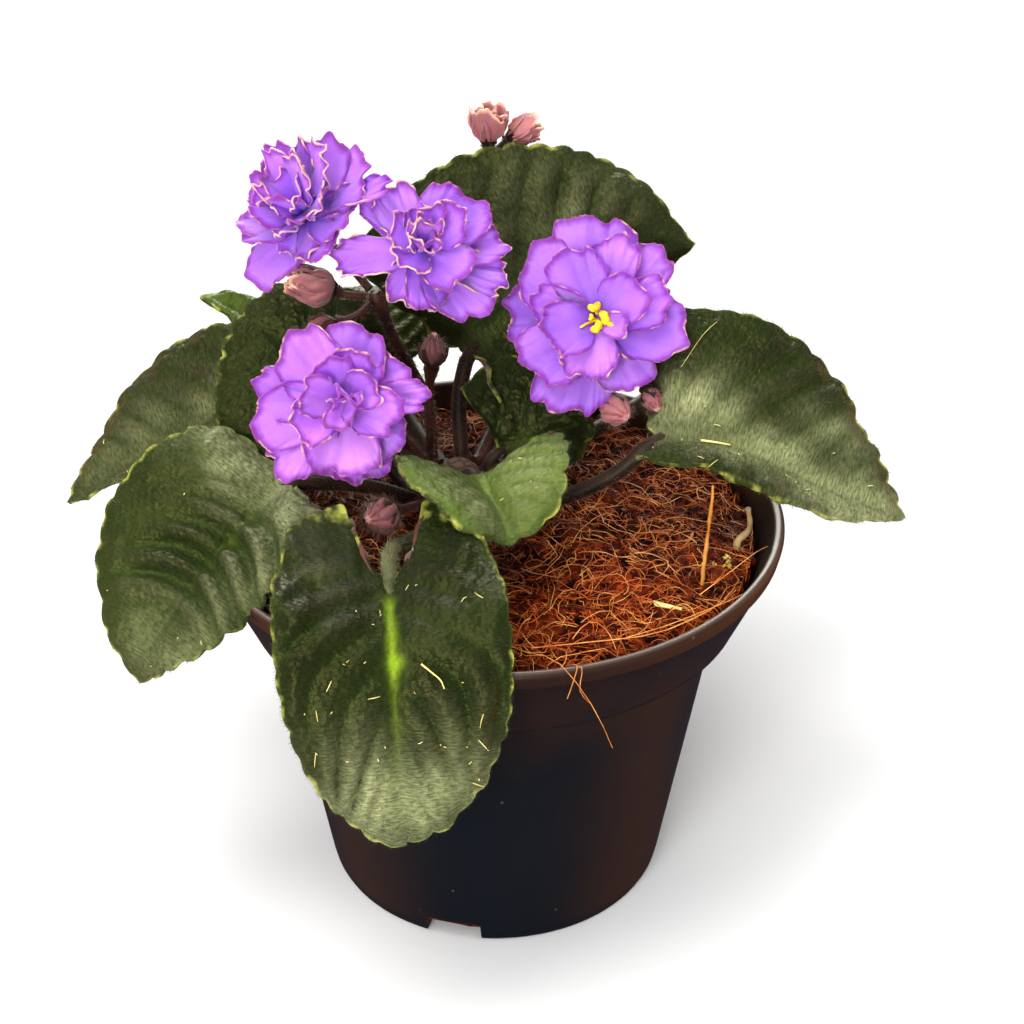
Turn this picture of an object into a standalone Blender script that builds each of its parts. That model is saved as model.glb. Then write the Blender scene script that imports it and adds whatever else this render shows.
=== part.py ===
"""An african violet in a plastic nursery pot of coir.

Every sub-part is one named, closed object: the pot, the coir, the crown, each leaf with its stalk,
each flower stem, the petal rings of each double flower, the buds, and the loose straws on the coir.
The origin is the middle of the pot's underside, +Z is up and -Y is the front. Lengths below are in
millimetres and become metres when an object is made.
"""

import math

import bmesh
import bpy
from mathutils import Matrix, Vector

MM = 0.001
GAP = 0.3  # between pieces that rest on each other

# The pot: a short 13 cm nursery pot with a flared collar
RIM_R = 65.0
POT_H = 92.4
COLLAR_H = 21.0
COLLAR_R = 56.4  # the collar's lower edge
WALL_TOP_R = 51.4  # the wall under the collar
BASE_R = 39.4
WALL = 1.6
LIP = 2.6  # the rim's flat top
EDGE = 1.2  # the small round at the foot and at the rim's outer edge
FLOOR_T = 2.4
RECESS = 0.8  # the underside is raised between its foot ring and its middle disc
FOOT_IN_R = 31.0
MIDDLE_R = 12.0
POT_SIDES = 44
NOTCH_W = 13.0
NOTCH_H = 5.5
NOTCH_AZIMUTHS = (256.0, 16.0, 136.0)
HOLE_R = 3.0
HOLE_RING_R = 22.0
HOLE_COUNT = 4
CUT_DEPTH = 12.0  # the cutters' length, enough to pass right through a wall

# The coir and the plant's crown
COIR_EDGE_Z = 83.0
COIR_MOUND = 4.5
CROWN_AT = (-8.0, 2.0)
CROWN_R = 5.4
CROWN_TOP_R = 4.2
CROWN_TOP_Z = 104.0

# Leaves and stems
STALK_R = 1.7
BLADE_T = 1.2
LEAF_STATIONS = 12
STALK_STATIONS = 6
LEAF_COLUMNS = 6
LOBE_RISE = 0.8  # the lobes at a blade's base stand up by this share of their reach
STEM_SIDES = 7
NODE_R = 1.9  # the swelling where a flower stem branches
NODE_REACH = 2.35  # from the middle of that swelling to the start of each branch
PETAL_T = 0.8
PEDICEL_R = 0.9  # the thin stalk of one flower or bud
CALYX_R = 3.4  # where a flower's stalk widens under its petals


def vec(x, y, z):
    return Vector((x, y, z))


def coir_height(x, y):
    """The top of the coir: a low mound with a few gentle lumps."""
    mound = COIR_MOUND * (1 - (math.hypot(x, y) / RIM_R) ** 2)
    lumps = 0.7 * math.sin(x / 7.0) * math.cos(y / 9.0) + 0.5 * math.sin((x + y) / 5.0)
    return COIR_EDGE_Z + mound + lumps


def inner_radius(z):
    """The pot's inside radius at a height."""
    shoulder = POT_H - COLLAR_H
    if z < shoulder:
        return BASE_R + (WALL_TOP_R - BASE_R) * z / shoulder - WALL
    return COLLAR_R + (RIM_R - COLLAR_R) * (z - shoulder) / COLLAR_H - LIP


# ---------------------------------------------------------------- making objects

def material(name, colour, roughness=0.5, metallic=0.0):
    mat = bpy.data.materials.new(name)
    mat.use_nodes = True
    shader = mat.node_tree.nodes["Principled BSDF"]
    shader.inputs["Base Color"].default_value = (*colour, 1.0)
    shader.inputs["Roughness"].default_value = roughness
    shader.inputs["Metallic"].default_value = metallic
    return mat


def new_object(name, bm, mat, smooth=True):
    """Turn a bmesh in millimetres into a named object in metres, with its faces pointing out."""
    bmesh.ops.remove_doubles(bm, verts=bm.verts, dist=1e-4)
    bmesh.ops.recalc_face_normals(bm, faces=bm.faces)
    bmesh.ops.scale(bm, verts=bm.verts, vec=(MM, MM, MM))
    mesh = bpy.data.meshes.new(name)
    bm.to_mesh(mesh)
    bm.free()
    if smooth:
        mesh.shade_smooth()
        mesh.set_sharp_from_angle(angle=math.radians(40))
    mesh.materials.append(mat)
    obj = bpy.data.objects.new(name, mesh)
    bpy.context.scene.collection.objects.link(obj)
    return obj


def turned(profile, sides):
    """Revolve a closed (radius, height) outline about Z; a radius of 0 lies on the axis."""
    bm = bmesh.new()
    rings = []
    for r, z in profile:
        if r == 0:
            rings.append([bm.verts.new((0, 0, z))])
            continue
        turns = (2 * math.pi * k / sides for k in range(sides))
        rings.append([bm.verts.new((r * math.cos(a), r * math.sin(a), z)) for a in turns])
    for low, high in zip(rings, rings[1:]):
        join_rings(bm, low, high)
    return bm


def join_rings(bm, low, high):
    """Faces between two rings, either of which may be a single point."""
    n = max(len(low), len(high))
    for k in range(n):
        corners = []
        for ring, at in ((low, k), (low, k + 1), (high, k + 1), (high, k)):
            vert = ring[at % len(ring)]
            if vert not in corners:
                corners.append(vert)
        if len(corners) > 2:
            bm.faces.new(corners)


def cutter(name, bm):
    """A helper that a Boolean takes away, left out of the build."""
    obj = new_object(name, bm, material(name, (0.5, 0.5, 0.5)), smooth=False)
    obj.hide_render = True
    obj.display_type = "WIRE"
    return obj


def cut(obj, tool):
    step = obj.modifiers.new("cut_" + tool.name, "BOOLEAN")
    step.operation = "DIFFERENCE"
    step.solver = "EXACT"
    step.object = tool


def smooth_path(points, count):
    """Evenly spaced points on a Catmull-Rom curve through the given ones."""
    steps = 16  # between two of the given points
    pts = [Vector(p) for p in points]
    pts = [2 * pts[0] - pts[1], *pts, 2 * pts[-1] - pts[-2]]
    fine = []
    for a, b, c, d in zip(pts, pts[1:], pts[2:], pts[3:]):
        for k in range(steps):
            t = k / steps
            fine.append(0.5 * (2 * b + (c - a) * t + (2 * a - 5 * b + 4 * c - d) * t * t
                               + (3 * b - a - 3 * c + d) * t ** 3))
    fine.append(pts[-2])
    run = [0.0]
    for a, b in zip(fine, fine[1:]):
        run.append(run[-1] + (b - a).length)
    out = []
    k = 0
    for i in range(count):
        want = run[-1] * i / (count - 1)
        while k < len(run) - 2 and run[k + 1] < want:
            k += 1
        share = (want - run[k]) / max(run[k + 1] - run[k], 1e-9)
        out.append(fine[k].lerp(fine[k + 1], min(max(share, 0), 1)))
    return out


def tangents(path):
    ends = [path[0], *path, path[-1]]
    return [(c - a).normalized() for a, c in zip(ends, ends[2:])]


# ---------------------------------------------------------------- the pot and what is in it

def make_pot():
    shoulder = POT_H - COLLAR_H
    outline = [
        (0, 0), (MIDDLE_R, 0), (MIDDLE_R + 1, RECESS), (FOOT_IN_R, RECESS), (FOOT_IN_R + 1, 0),
        (BASE_R - EDGE, 0), (BASE_R, EDGE), (WALL_TOP_R, shoulder), (COLLAR_R, shoulder),
        (RIM_R, POT_H - EDGE), (RIM_R - 0.4, POT_H), (RIM_R - LIP, POT_H),
        (inner_radius(shoulder + WALL), shoulder + WALL), (inner_radius(shoulder - 0.1), shoulder),
        (inner_radius(FLOOR_T), FLOOR_T), (0, FLOOR_T),
    ]
    pot = new_object("nursery_pot", turned(outline, POT_SIDES), material("pot", (0.01, 0.011, 0.014), 0.35))
    bm = bmesh.new()
    for azimuth in NOTCH_AZIMUTHS:
        place = Matrix.Rotation(math.radians(azimuth), 4, "Z") @ Matrix.Translation((BASE_R - 1, 0, 0))
        size = Matrix.Diagonal((CUT_DEPTH, NOTCH_W, 2 * NOTCH_H, 1))
        bmesh.ops.create_cube(bm, size=1, matrix=place @ size)
    cut(pot, cutter("notch_cutters", bm))
    bm = bmesh.new()
    for k in range(HOLE_COUNT):
        turn = Matrix.Rotation(2 * math.pi * (k + 0.5) / HOLE_COUNT, 4, "Z")
        bmesh.ops.create_cone(bm, cap_ends=True, segments=12, radius1=HOLE_R, radius2=HOLE_R,
                              depth=CUT_DEPTH, matrix=turn @ Matrix.Translation((HOLE_RING_R, 0, 0)))
    cut(pot, cutter("hole_cutters", bm))


def make_coir():
    shoulder = POT_H - COLLAR_H
    sides = POT_SIDES // 2
    bm = bmesh.new()
    outline = [
        (inner_radius(FLOOR_T) - GAP, FLOOR_T + GAP), (inner_radius(shoulder - 0.1) - GAP, shoulder + GAP),
        (inner_radius(shoulder + WALL) - 2 * GAP, shoulder + WALL + 2 * GAP),
    ]
    turns = [2 * math.pi * k / sides for k in range(sides)]
    rings = [[bm.verts.new((0, 0, FLOOR_T + GAP))]]
    for r, z in outline:
        rings.append([bm.verts.new((r * math.cos(a), r * math.sin(a), z)) for a in turns])
    top_r = inner_radius(COIR_EDGE_Z) - GAP - 0.6
    for share in (1.0, 0.78, 0.52, 0.25):
        places = [(share * top_r * math.cos(a), share * top_r * math.sin(a)) for a in turns]
        rings.append([bm.verts.new((x, y, coir_height(x, y))) for x, y in places])
    rings.append([bm.verts.new((0, 0, coir_height(0, 0)))])
    for low, high in zip(rings, rings[1:]):
        join_rings(bm, low, high)
    new_object("coir_mix", bm, material("coir", (0.16, 0.045, 0.015), 0.95))


def crown_radius(z):
    low = coir_height(*CROWN_AT)
    return CROWN_R + (CROWN_TOP_R - CROWN_R) * (z - low) / (CROWN_TOP_Z - low)


def make_crown():
    """The short woody stem that everything grows from; it stands on the coir."""
    low = coir_height(*CROWN_AT) + 1.4
    outline = [(0, low), (crown_radius(low), low), (crown_radius(CROWN_TOP_Z - 1), CROWN_TOP_Z - 1),
               (CROWN_TOP_R - 1.4, CROWN_TOP_Z), (0, CROWN_TOP_Z)]
    bm = turned(outline, 14)
    bmesh.ops.translate(bm, verts=bm.verts, vec=(*CROWN_AT, 0))
    new_object("crown", bm, material("crown", (0.10, 0.05, 0.02), 0.8))


def seat(azimuth, z, reach=0.0):
    """A place just off the crown's side, or further out along that azimuth."""
    turn = math.radians(azimuth)
    r = crown_radius(z) + GAP + 0.15 + reach
    return vec(CROWN_AT[0] + r * math.cos(turn), CROWN_AT[1] + r * math.sin(turn), z)


# ---------------------------------------------------------------- leaves

# Each leaf: azimuth and height where the stalk leaves the crown; the stalk's points; the midrib's
# points from the blade's base to its tip; half widths and the share of the length where each half is
# broadest (left, right); roll at base and tip (left side up); fold (left, right) and curl of the
# margins; lobe (how far the base reaches back, share of the length); and tip (above 1 is pointed).
# Left and right are seen from the crown.
LEAVES = {
    "leaf_front": dict(
        azimuth=245, height=90, stalk=[(-19, -20, 96)],
        rib=[(-22, -32, 102), (-21, -48, 102), (-20, -62, 97.5), (-19, -72, 84), (-18, -75, 57)],
        width=(24, 23.5), broad=(0.5, 0.4), roll=(0, 0), fold=(4, 4), curl=-0.06, lobe=0.16, tip=0.8),
    "leaf_left_front": dict(
        azimuth=206, height=94, stalk=[(-28, -6, 102)],
        rib=[(-44, -12, 106.5), (-53, -21, 102), (-64, -30, 92), (-73, -37, 81), (-77, -39, 72.5)],
        width=(18, 28), broad=(0.4, 0.42), roll=(-20, -20), fold=(14, 8), curl=-0.05, lobe=0.12, tip=0.95),
    "leaf_left": dict(
        azimuth=171, height=90, stalk=[(-28, 11, 102)],
        rib=[(-46, 15, 110), (-62, 16, 106), (-80, 15, 98), (-99, 12, 88)],
        width=(9, 19), broad=(0.35, 0.28), roll=(-38, -30), fold=(35, 12), curl=-0.1, lobe=0.03, tip=1.6),
    "leaf_left_back": dict(
        azimuth=139, height=94, stalk=[(-26, 28, 100)],
        rib=[(-38, 38, 108), (-50, 44, 115), (-61, 46, 121), (-69, 47, 124)],
        width=(9, 10), broad=(0.4, 0.4), roll=(-10, -20), fold=(15, 10), curl=-0.05, lobe=0.06, tip=1.3),
    "leaf_upper_left": dict(
        azimuth=182, height=98.5, stalk=[(-18, 4, 105)],
        rib=[(-24, 6, 111), (-35, 10, 119), (-47, 15, 127), (-57, 19, 132)],
        width=(28, 19), broad=(0.5, 0.5), roll=(-48, -48), fold=(5, 5), curl=-0.06, lobe=0.12, tip=0.8),
    "leaf_back_left": dict(
        azimuth=121, height=99, stalk=[(-20, 22, 104)],
        rib=[(-27, 30, 111), (-30, 40, 118), (-31, 48, 122), (-32, 55, 123)],
        width=(13, 12), broad=(0.5, 0.5), roll=(0, 0), fold=(10, 10), curl=-0.05, lobe=0.05, tip=0.9),
    "leaf_upper_right": dict(
        azimuth=84, height=100, stalk=[(-8, 16, 112)],
        rib=[(-6, 21, 121), (8, 28, 132), (28, 34, 140), (46, 37, 141)],
        width=(35, 20), broad=(0.36, 0.42), roll=(48, 50), fold=(10, -30), curl=-0.08, lobe=0.10, tip=1.5),
    "leaf_middle": dict(
        azimuth=8, height=99, stalk=[(-1, 4, 102)],
        rib=[(1, 5, 104), (8, 6, 107), (16, 6, 110), (22, 4, 112)],
        width=(20, 9), broad=(0.42, 0.42), roll=(52, 50), fold=(5, 5), curl=-0.1, lobe=0.14, tip=0.85),
    "leaf_centre": dict(
        azimuth=287, height=99, stalk=[(-6, -9, 106)],
        rib=[(-4, -13, 109), (-1, -22, 110), (2, -30, 109), (4, -35, 105)],
        width=(21, 21), broad=(0.3, 0.3), roll=(0, 0), fold=(32, 30), curl=-0.12, lobe=0.08, tip=0.75),
    "leaf_right": dict(
        azimuth=350, height=92, stalk=[(10, -4, 96), (26, -5, 104)],
        rib=[(38, -4, 114), (50, -7, 114), (62, -10, 110), (75, -12, 104), (90, -12, 98)],
        width=(33, 13), broad=(0.34, 0.4), roll=(32, 24), fold=(14, 22), curl=-0.06, lobe=0.12, tip=1.15),
    "leaf_right_back": dict(
        azimuth=40, height=90, stalk=[(16, 21, 96), (31, 33, 100)],
        rib=[(43, 42, 102), (58, 52, 101), (71, 60, 96), (81, 65, 88)],
        width=(21, 21), broad=(0.45, 0.45), roll=(0, 0), fold=(8, 8), curl=-0.1, lobe=0.06, tip=0.95),
    "leaf_back": dict(
        azimuth=74, height=94, stalk=[(0, 26, 99), (6, 40, 104)],
        rib=[(9, 50, 106), (12, 64, 106), (14, 77, 100), (15, 86, 90)],
        width=(20, 20), broad=(0.45, 0.45), roll=(0, 0), fold=(8, 8), curl=-0.1, lobe=0.06, tip=0.95),
    "leaf_left_rear": dict(
        azimuth=106, height=90, stalk=[(-16, 26, 94), (-26, 42, 97)],
        rib=[(-31, 52, 98), (-38, 64, 97), (-43, 74, 92), (-46, 81, 84)],
        width=(17, 17), broad=(0.45, 0.45), roll=(0, 0), fold=(8, 8), curl=-0.1, lobe=0.06, tip=0.95),
}


def lerp(a, b, t):
    return a + (b - a) * t


def blade_width(t, broad, tip):
    """Share of the full half width at a share t of the blade's length."""
    if t <= 0 or t >= 1:
        return 0.0
    turn = t ** (math.log(0.5) / math.log(broad))
    return math.sin(math.pi * turn) ** lerp(0.42, 0.62 * tip, t)


def make_leaf(name, spec, mat):
    """Loft flat sections along the stalk and the midrib, from the crown to the leaf's tip."""
    start = seat(spec["azimuth"], spec["height"])
    out = seat(spec["azimuth"], spec["height"], STALK_R)
    stalk = [start, *smooth_path([out, *spec["stalk"], spec["rib"][0]], STALK_STATIONS)]
    rib = smooth_path([spec["stalk"][-1], *spec["rib"]], 40)
    first = min(range(40), key=lambda k: (rib[k] - Vector(spec["rib"][0])).length)
    rib = smooth_path(rib[first:], LEAF_STATIONS)
    heading = rib[-1] - rib[0]
    heading.z = 0
    across = vec(0, 0, 1).cross(heading.normalized())
    length = sum((b - a).length for a, b in zip(rib, rib[1:]))
    path = stalk[:-1] + rib
    shares = [0.0] * (len(stalk) - 1) + [k / (LEAF_STATIONS - 1) for k in range(LEAF_STATIONS)]
    bm = bmesh.new()
    rings = []
    for at, along, t in zip(path, tangents(path), shares):
        side = (across - across.dot(along) * along).normalized()
        up = along.cross(side)
        roll = math.radians(lerp(*spec["roll"], t)) * min(1, (t * 6 + 0.5))
        side, up = side * math.cos(roll) + up * math.sin(roll), up * math.cos(roll) - side * math.sin(roll)
        rings.append([bm.verts.new(p) for p in leaf_section(at, along, side, up, t, length, spec)])
    tip = [bm.verts.new(path[-1] + tangents(path)[-1] * 0.4)]
    root = [bm.verts.new(path[0])]
    rings = [root] + rings[:-1] + [tip]
    for low, high in zip(rings, rings[1:]):
        join_rings(bm, low, high)
    return new_object(name, bm, mat)


def leaf_section(at, along, side, up, t, length, spec):
    """One closed section: the upper face from right to left, then the underside back again."""
    flat = min(1.0, t * 7)  # 0 on the round stalk, 1 on the thin blade
    lobe = spec["lobe"] * length * (1 - t) ** 3 * flat
    top, low = [], []
    for k in range(LEAF_COLUMNS + 1):
        q = 2 * k / LEAF_COLUMNS - 1
        s = lerp(math.sin(q * math.pi / 2), q, flat)
        hand = 0 if s > 0 else 1
        share = blade_width(t, spec["broad"][hand], spec["tip"])
        half = max(spec["width"][hand] * share, STALK_R * (1 - t))
        fold = math.radians(spec["fold"][hand]) * flat
        reach = s * half
        lift = abs(reach) * math.sin(fold) + spec["curl"] * half * s * s * flat
        back = lobe * abs(s) ** 1.5
        mid = at + side * reach * math.cos(fold) + up * (lift + LOBE_RISE * back) - along * back
        round_off = math.sqrt(max(0.0, 1 - s * s))
        thick = lerp(STALK_R * round_off, BLADE_T / 2 * (1 - s ** 6), flat)
        keel = 1.3 * (1 - t) * math.exp(-(reach / 1.8) ** 2) * flat
        top.append(mid + up * thick)
        low.append(mid - up * (thick + keel))
    return top + low[-2:0:-1]


# ---------------------------------------------------------------- stems, flowers and buds

def rod(path, radii):
    """A round closed rod along a path, with one radius for each of its points."""
    bm = bmesh.new()
    reference = vec(0.3, 1, 0.2).normalized()
    rings = [[bm.verts.new(path[0])]]
    for at, along, r in zip(path, tangents(path), radii):
        side = (reference - reference.dot(along) * along).normalized()
        up = along.cross(side)
        turns = (2 * math.pi * j / STEM_SIDES for j in range(STEM_SIDES))
        rings.append([bm.verts.new(at + r * (side * math.cos(a) + up * math.sin(a))) for a in turns])
    rings.append([bm.verts.new(path[-1])])
    for a, b in zip(rings, rings[1:]):
        join_rings(bm, a, b)
    return bm


# Each flower stem: azimuth and height of its seat on the crown, then its route to the branching
PEDUNCLES = {
    "flower_stem_left": dict(azimuth=146, height=101.5,
                             route=[(-15, 8, 116), (-21, 5, 131), (-25, 4, 143)]),
    "flower_stem_right": dict(azimuth=40, height=102,
                              route=[(2, 14.5, 109), (9, 18.5, 118), (18, 17, 127)]),
    "flower_stem_back": dict(azimuth=57, height=97.5,
                             route=[(1, 20, 104), (2, 37, 124), (0, 48, 144), (-1, 49, 157)]),
    "flower_stem_front": dict(azimuth=222, height=100, route=[(-17, -5, 110), (-24, -7, 118)]),
}

# centre of the open face, the way it faces, and the rings of petals: radius, lift off the flower's
# back, cup (height of the margin over the middle, share of the radius), and turn in degrees
FLOWERS = {
    "flower_front": dict(at=(-32, -15, 127.5), faces=(0.1, -0.85, 0.45), stem="flower_stem_front",
                         rings=[(19.5, 0, 0.12, 0), (14.5, 1.4, 0.35, 36), (8.5, 2.8, 0.8, 10)]),
    "flower_right": dict(at=(23, 9, 135), faces=(-0.05, -0.83, 0.50), stem="flower_stem_right",
                         rings=[(20.5, 0, 0.08, 15), (14.5, 1.4, 0.25, 50)]),
    "flower_upper_left": dict(at=(-38, 8, 160), faces=(-0.35, -0.50, 0.75), stem="flower_stem_left",
                              rings=[(18.5, 0, 0.15, 0), (14.0, 1.4, 0.5, 36), (9.0, 2.8, 1.0, 10)]),
    "flower_top": dict(at=(-13.5, 5, 154.5), faces=(0.25, -0.70, 0.65), stem="flower_stem_left",
                       rings=[(17.0, 0, 0.12, 20), (12.0, 1.4, 0.4, 56), (7.5, 2.8, 0.9, 10)]),
}

# buds: the flower stem or the crown's seat that each grows from, the bends of its stalk, the bud's
# middle, and its radius and length
BUDS = {
    "bud_left_large": dict(stem="flower_stem_left", route=[(-31, 3, 144)], at=(-38, 3, 146), size=(4.6, 9)),
    "bud_left_hanging": dict(stem="flower_stem_left", route=[(-29, -1, 141)], at=(-37, -2, 138),
                             size=(3.2, 8)),
    "bud_middle": dict(seat=(196, 103), route=[(-14, 0, 112), (-14, 1, 122)], at=(-13, 1, 132),
                       size=(3.0, 8)),
    "bud_top_open": dict(stem="flower_stem_back", route=[(-1.5, 49, 161)], at=(-1.5, 49, 167),
                         size=(5.0, 10)),
    "bud_top_second": dict(stem="flower_stem_back", route=[(3, 52, 160)], at=(6, 53, 164), size=(3.6, 8)),
    "bud_right_round": dict(stem="flower_stem_right", route=[(20, 13, 121), (24, 6, 117)], at=(27, 1, 117),
                            size=(3.4, 7)),
    "bud_right_hairy": dict(stem="flower_stem_right", route=[(26, 15, 123), (33, 9, 120)], at=(35, 4, 118),
                            size=(2.4, 6)),
    "bud_front_young": dict(seat=(240, 97), route=[(-16, -12, 101)], at=(-24, -23, 104.5), size=(4.0, 9)),
}


def make_peduncles(mat):
    """Each flower stem rises from the crown and ends in a small swelling that its branches leave."""
    for name, spec in PEDUNCLES.items():
        out = seat(spec["azimuth"], spec["height"], 2.2)
        path = [seat(spec["azimuth"], spec["height"]), *smooth_path([out, *spec["route"]], 8)]
        ahead = (path[-1] - path[-2]).normalized()
        points = path[:-1] + [path[-1] - ahead * 1.5, path[-1], path[-1] + ahead * 1.7]
        new_object(name, rod(points, [1.3] * 4 + [1.1] * 4 + [1.4, NODE_R, 1.2]), mat)


def branch_start(stem, toward):
    """Where a branch leaves the end of a flower stem on its way to a point."""
    node = Vector(PEDUNCLES[stem]["route"][-1])
    return node + (Vector(toward) - node).normalized() * NODE_REACH


def face_axes(facing):
    """The flower's right, up and outward directions."""
    out = Vector(facing).normalized()
    right = vec(0, 0, 1).cross(out).normalized()
    return right, out.cross(right), out


def make_flower(name, spec, petal_mat, stalk_mat, anther_mat):
    right, up, out = face_axes(spec["faces"])
    at = Vector(spec["at"])
    ring_names = ("outer_petals", "inner_petals", "centre_petals")
    for ring_name, ring in zip(ring_names, spec["rings"]):
        bm = petal_ring(at, right, up, out, *ring)
        new_object(f"{name}_{ring_name}", bm, petal_mat)
    back = at - out * (PETAL_T / 2 + GAP)
    route = [branch_start(spec["stem"], at - out * 9), at - out * 9, at - out * 3]
    path = [*smooth_path(route, 6), at - out * 1.8, back]
    new_object(f"{name}_stalk", rod(path, [PEDICEL_R] * 6 + [1.8, CALYX_R]), stalk_mat)
    if len(spec["rings"]) == 2:
        low = at + out * (spec["rings"][1][1] + PETAL_T / 2 + GAP)
        path = [low, low + out * 1.1, low + out * 2.2, low + out * 3.2]
        new_object(f"{name}_anthers", rod(path, [1.6, 2.9, 2.6, 1.2]), anther_mat)


def petal_ring(at, right, up, out, radius, lift, cup, turn):
    """Five petals fused at their base: a thin cupped disc with five rounded lobes."""
    sides, circles = 20, (0.3, 0.66, 1.0)
    bm = bmesh.new()
    faces_up = {}
    for sign in (1, -1):
        middle = at + out * (lift + sign * PETAL_T / 2)
        rings = [[bm.verts.new(middle)]]
        for share in circles:
            ring = []
            for k in range(sides):
                a = 2 * math.pi * k / sides
                lobe = 0.72 + 0.28 * abs(math.cos(2.5 * a)) ** 0.6
                r = radius * lerp(1.0, lobe, share) * share
                height = lift + cup * radius * share ** 2 + sign * PETAL_T / 2
                spin = a + math.radians(turn)
                sideways = right * math.cos(spin) + up * math.sin(spin)
                ring.append(bm.verts.new(at + r * sideways + out * height))
            rings.append(ring)
        faces_up[sign] = rings
        for low, high in zip(rings, rings[1:]):
            join_rings(bm, low, high)
    join_rings(bm, faces_up[1][-1], faces_up[-1][-1])
    return bm


def make_bud(name, spec, mat):
    """A bud on its own stalk: a thin rod that swells into an egg shape."""
    middle = Vector(spec["at"])
    radius, length = spec["size"]
    if "seat" in spec:
        starts = [seat(*spec["seat"]), seat(*spec["seat"], 1.8)]
    else:
        starts = [branch_start(spec["stem"], spec["route"][0])]
    toward = (middle - Vector(spec["route"][-1])).normalized()
    stalk = smooth_path([*starts, *spec["route"], middle - toward * length * 0.55], 7)
    egg = [(-0.3, 0.8), (0, 1.0), (0.3, 0.8), (0.48, 0.35)]  # shares of the length and of the radius
    path = stalk + [middle + toward * length * along for along, _ in egg]
    new_object(name, rod(path, [PEDICEL_R] * 7 + [radius * share for _, share in egg]), mat)


# ---------------------------------------------------------------- straws lying on the coir

# Each loose straw: where its foot stands or lies on the coir, how high its middle line starts above
# the coir, the rest of its route, and its radius
STRAWS = {
    "straw_upright": dict(foot=(45, -24), lift=0.4, route=[(46, -21, 98), (47, -18, 106)], radius=0.7),
    "dry_root": dict(foot=(54, -9), lift=0.5, route=[(55, -9, 89), (57, -10, 96)], radius=1.2),
    "straw_chip": dict(foot=(34, -33), lift=1.2, route=[(37, -34, 86.8), (40, -35, 86.6)], radius=0.9),
}


def make_straws():
    mat = material("straw", (0.45, 0.27, 0.10), 0.8)
    for name, spec in STRAWS.items():
        x, y = spec["foot"]
        path = smooth_path([(x, y, coir_height(x, y) + spec["lift"]), *spec["route"]], 6)
        radii = [spec["radius"] * lerp(1.0, 0.7, k / 5) for k in range(6)]
        new_object(name, rod(path, radii), mat)


# ---------------------------------------------------------------- the whole plant

def main():
    for obj in list(bpy.data.objects):
        bpy.data.objects.remove(obj)
    make_pot()
    make_coir()
    make_crown()
    leaf_green = material("leaf", (0.03, 0.07, 0.02), 0.5)
    for name, spec in LEAVES.items():
        make_leaf(name, spec, leaf_green)
    stem_brown = material("stem", (0.06, 0.02, 0.015), 0.6)
    make_peduncles(stem_brown)
    petal_violet = material("petal", (0.30, 0.08, 0.75), 0.6)
    anther_yellow = material("anther", (0.85, 0.60, 0.03), 0.6)
    for name, spec in FLOWERS.items():
        make_flower(name, spec, petal_violet, stem_brown, anther_yellow)
    bud_pink = material("bud", (0.45, 0.16, 0.16), 0.6)
    for name, spec in BUDS.items():
        make_bud(name, spec, bud_pink)
    make_straws()


main()
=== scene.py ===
"""The looks of a potted african violet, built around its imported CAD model.

The file is laid out as a Blender add-on and is run as a script. Each operator makes one group of
pieces from the settings on the scene, and the panel in the 3D view's sidebar lists the operators.
Design lengths are in millimetres and become metres as a mesh is placed.
"""

import math

import bpy
import numpy as np
from mathutils import Color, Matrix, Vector


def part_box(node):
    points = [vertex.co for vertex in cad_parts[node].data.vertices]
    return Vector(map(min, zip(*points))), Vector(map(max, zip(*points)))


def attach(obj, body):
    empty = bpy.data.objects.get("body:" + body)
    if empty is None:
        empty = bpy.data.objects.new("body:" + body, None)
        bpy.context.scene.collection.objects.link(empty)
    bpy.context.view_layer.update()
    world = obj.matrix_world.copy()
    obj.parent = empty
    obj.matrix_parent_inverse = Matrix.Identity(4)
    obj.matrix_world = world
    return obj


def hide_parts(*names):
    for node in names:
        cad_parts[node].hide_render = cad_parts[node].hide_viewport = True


bl_info = {
    "name": "Potted African Violet",
    "version": (1, 0, 0),
    "blender": (4, 5, 0),
    "location": "View3D > Sidebar > Violet",
    "description": "Builds the leaves, flowers, pot and studio of a potted african violet",
    "category": "Add Mesh",
}

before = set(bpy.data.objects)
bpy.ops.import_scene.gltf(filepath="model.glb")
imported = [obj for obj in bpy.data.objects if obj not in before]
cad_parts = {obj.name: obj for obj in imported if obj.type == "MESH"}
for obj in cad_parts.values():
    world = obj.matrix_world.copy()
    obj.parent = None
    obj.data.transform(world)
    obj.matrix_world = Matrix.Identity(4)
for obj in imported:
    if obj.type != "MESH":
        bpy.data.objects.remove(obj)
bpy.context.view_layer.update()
MM = 0.001
BODY = "root"

# -------- the plant's plan, as in the CAD

GAP = 0.3
RIM_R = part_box("nursery_pot")[1].x / MM
POT_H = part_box("nursery_pot")[1].z / MM
COLLAR_H = 21.0
COLLAR_R = 56.4
WALL_TOP_R = 51.4
BASE_R = 39.4
WALL = 1.6
LIP = 2.6
FLOOR_T = 2.4
NOTCH_W = 13.0
NOTCH_H = 5.5
NOTCH_AZIMUTHS = (256.0, 16.0, 136.0)
HOLE_R = 3.0
HOLE_RING_R = 22.0
HOLE_COUNT = 4
COIR_EDGE_Z = 83.0
COIR_MOUND = 4.5
CROWN_AT = (-8.0, 2.0)
CROWN_R = 5.4
CROWN_TOP_R = 4.2
CROWN_TOP_Z = 104.0
STALK_R = 1.7
LOBE_RISE = 0.8
PEDICEL_R = 0.9
NODE_REACH = 2.35

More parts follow.
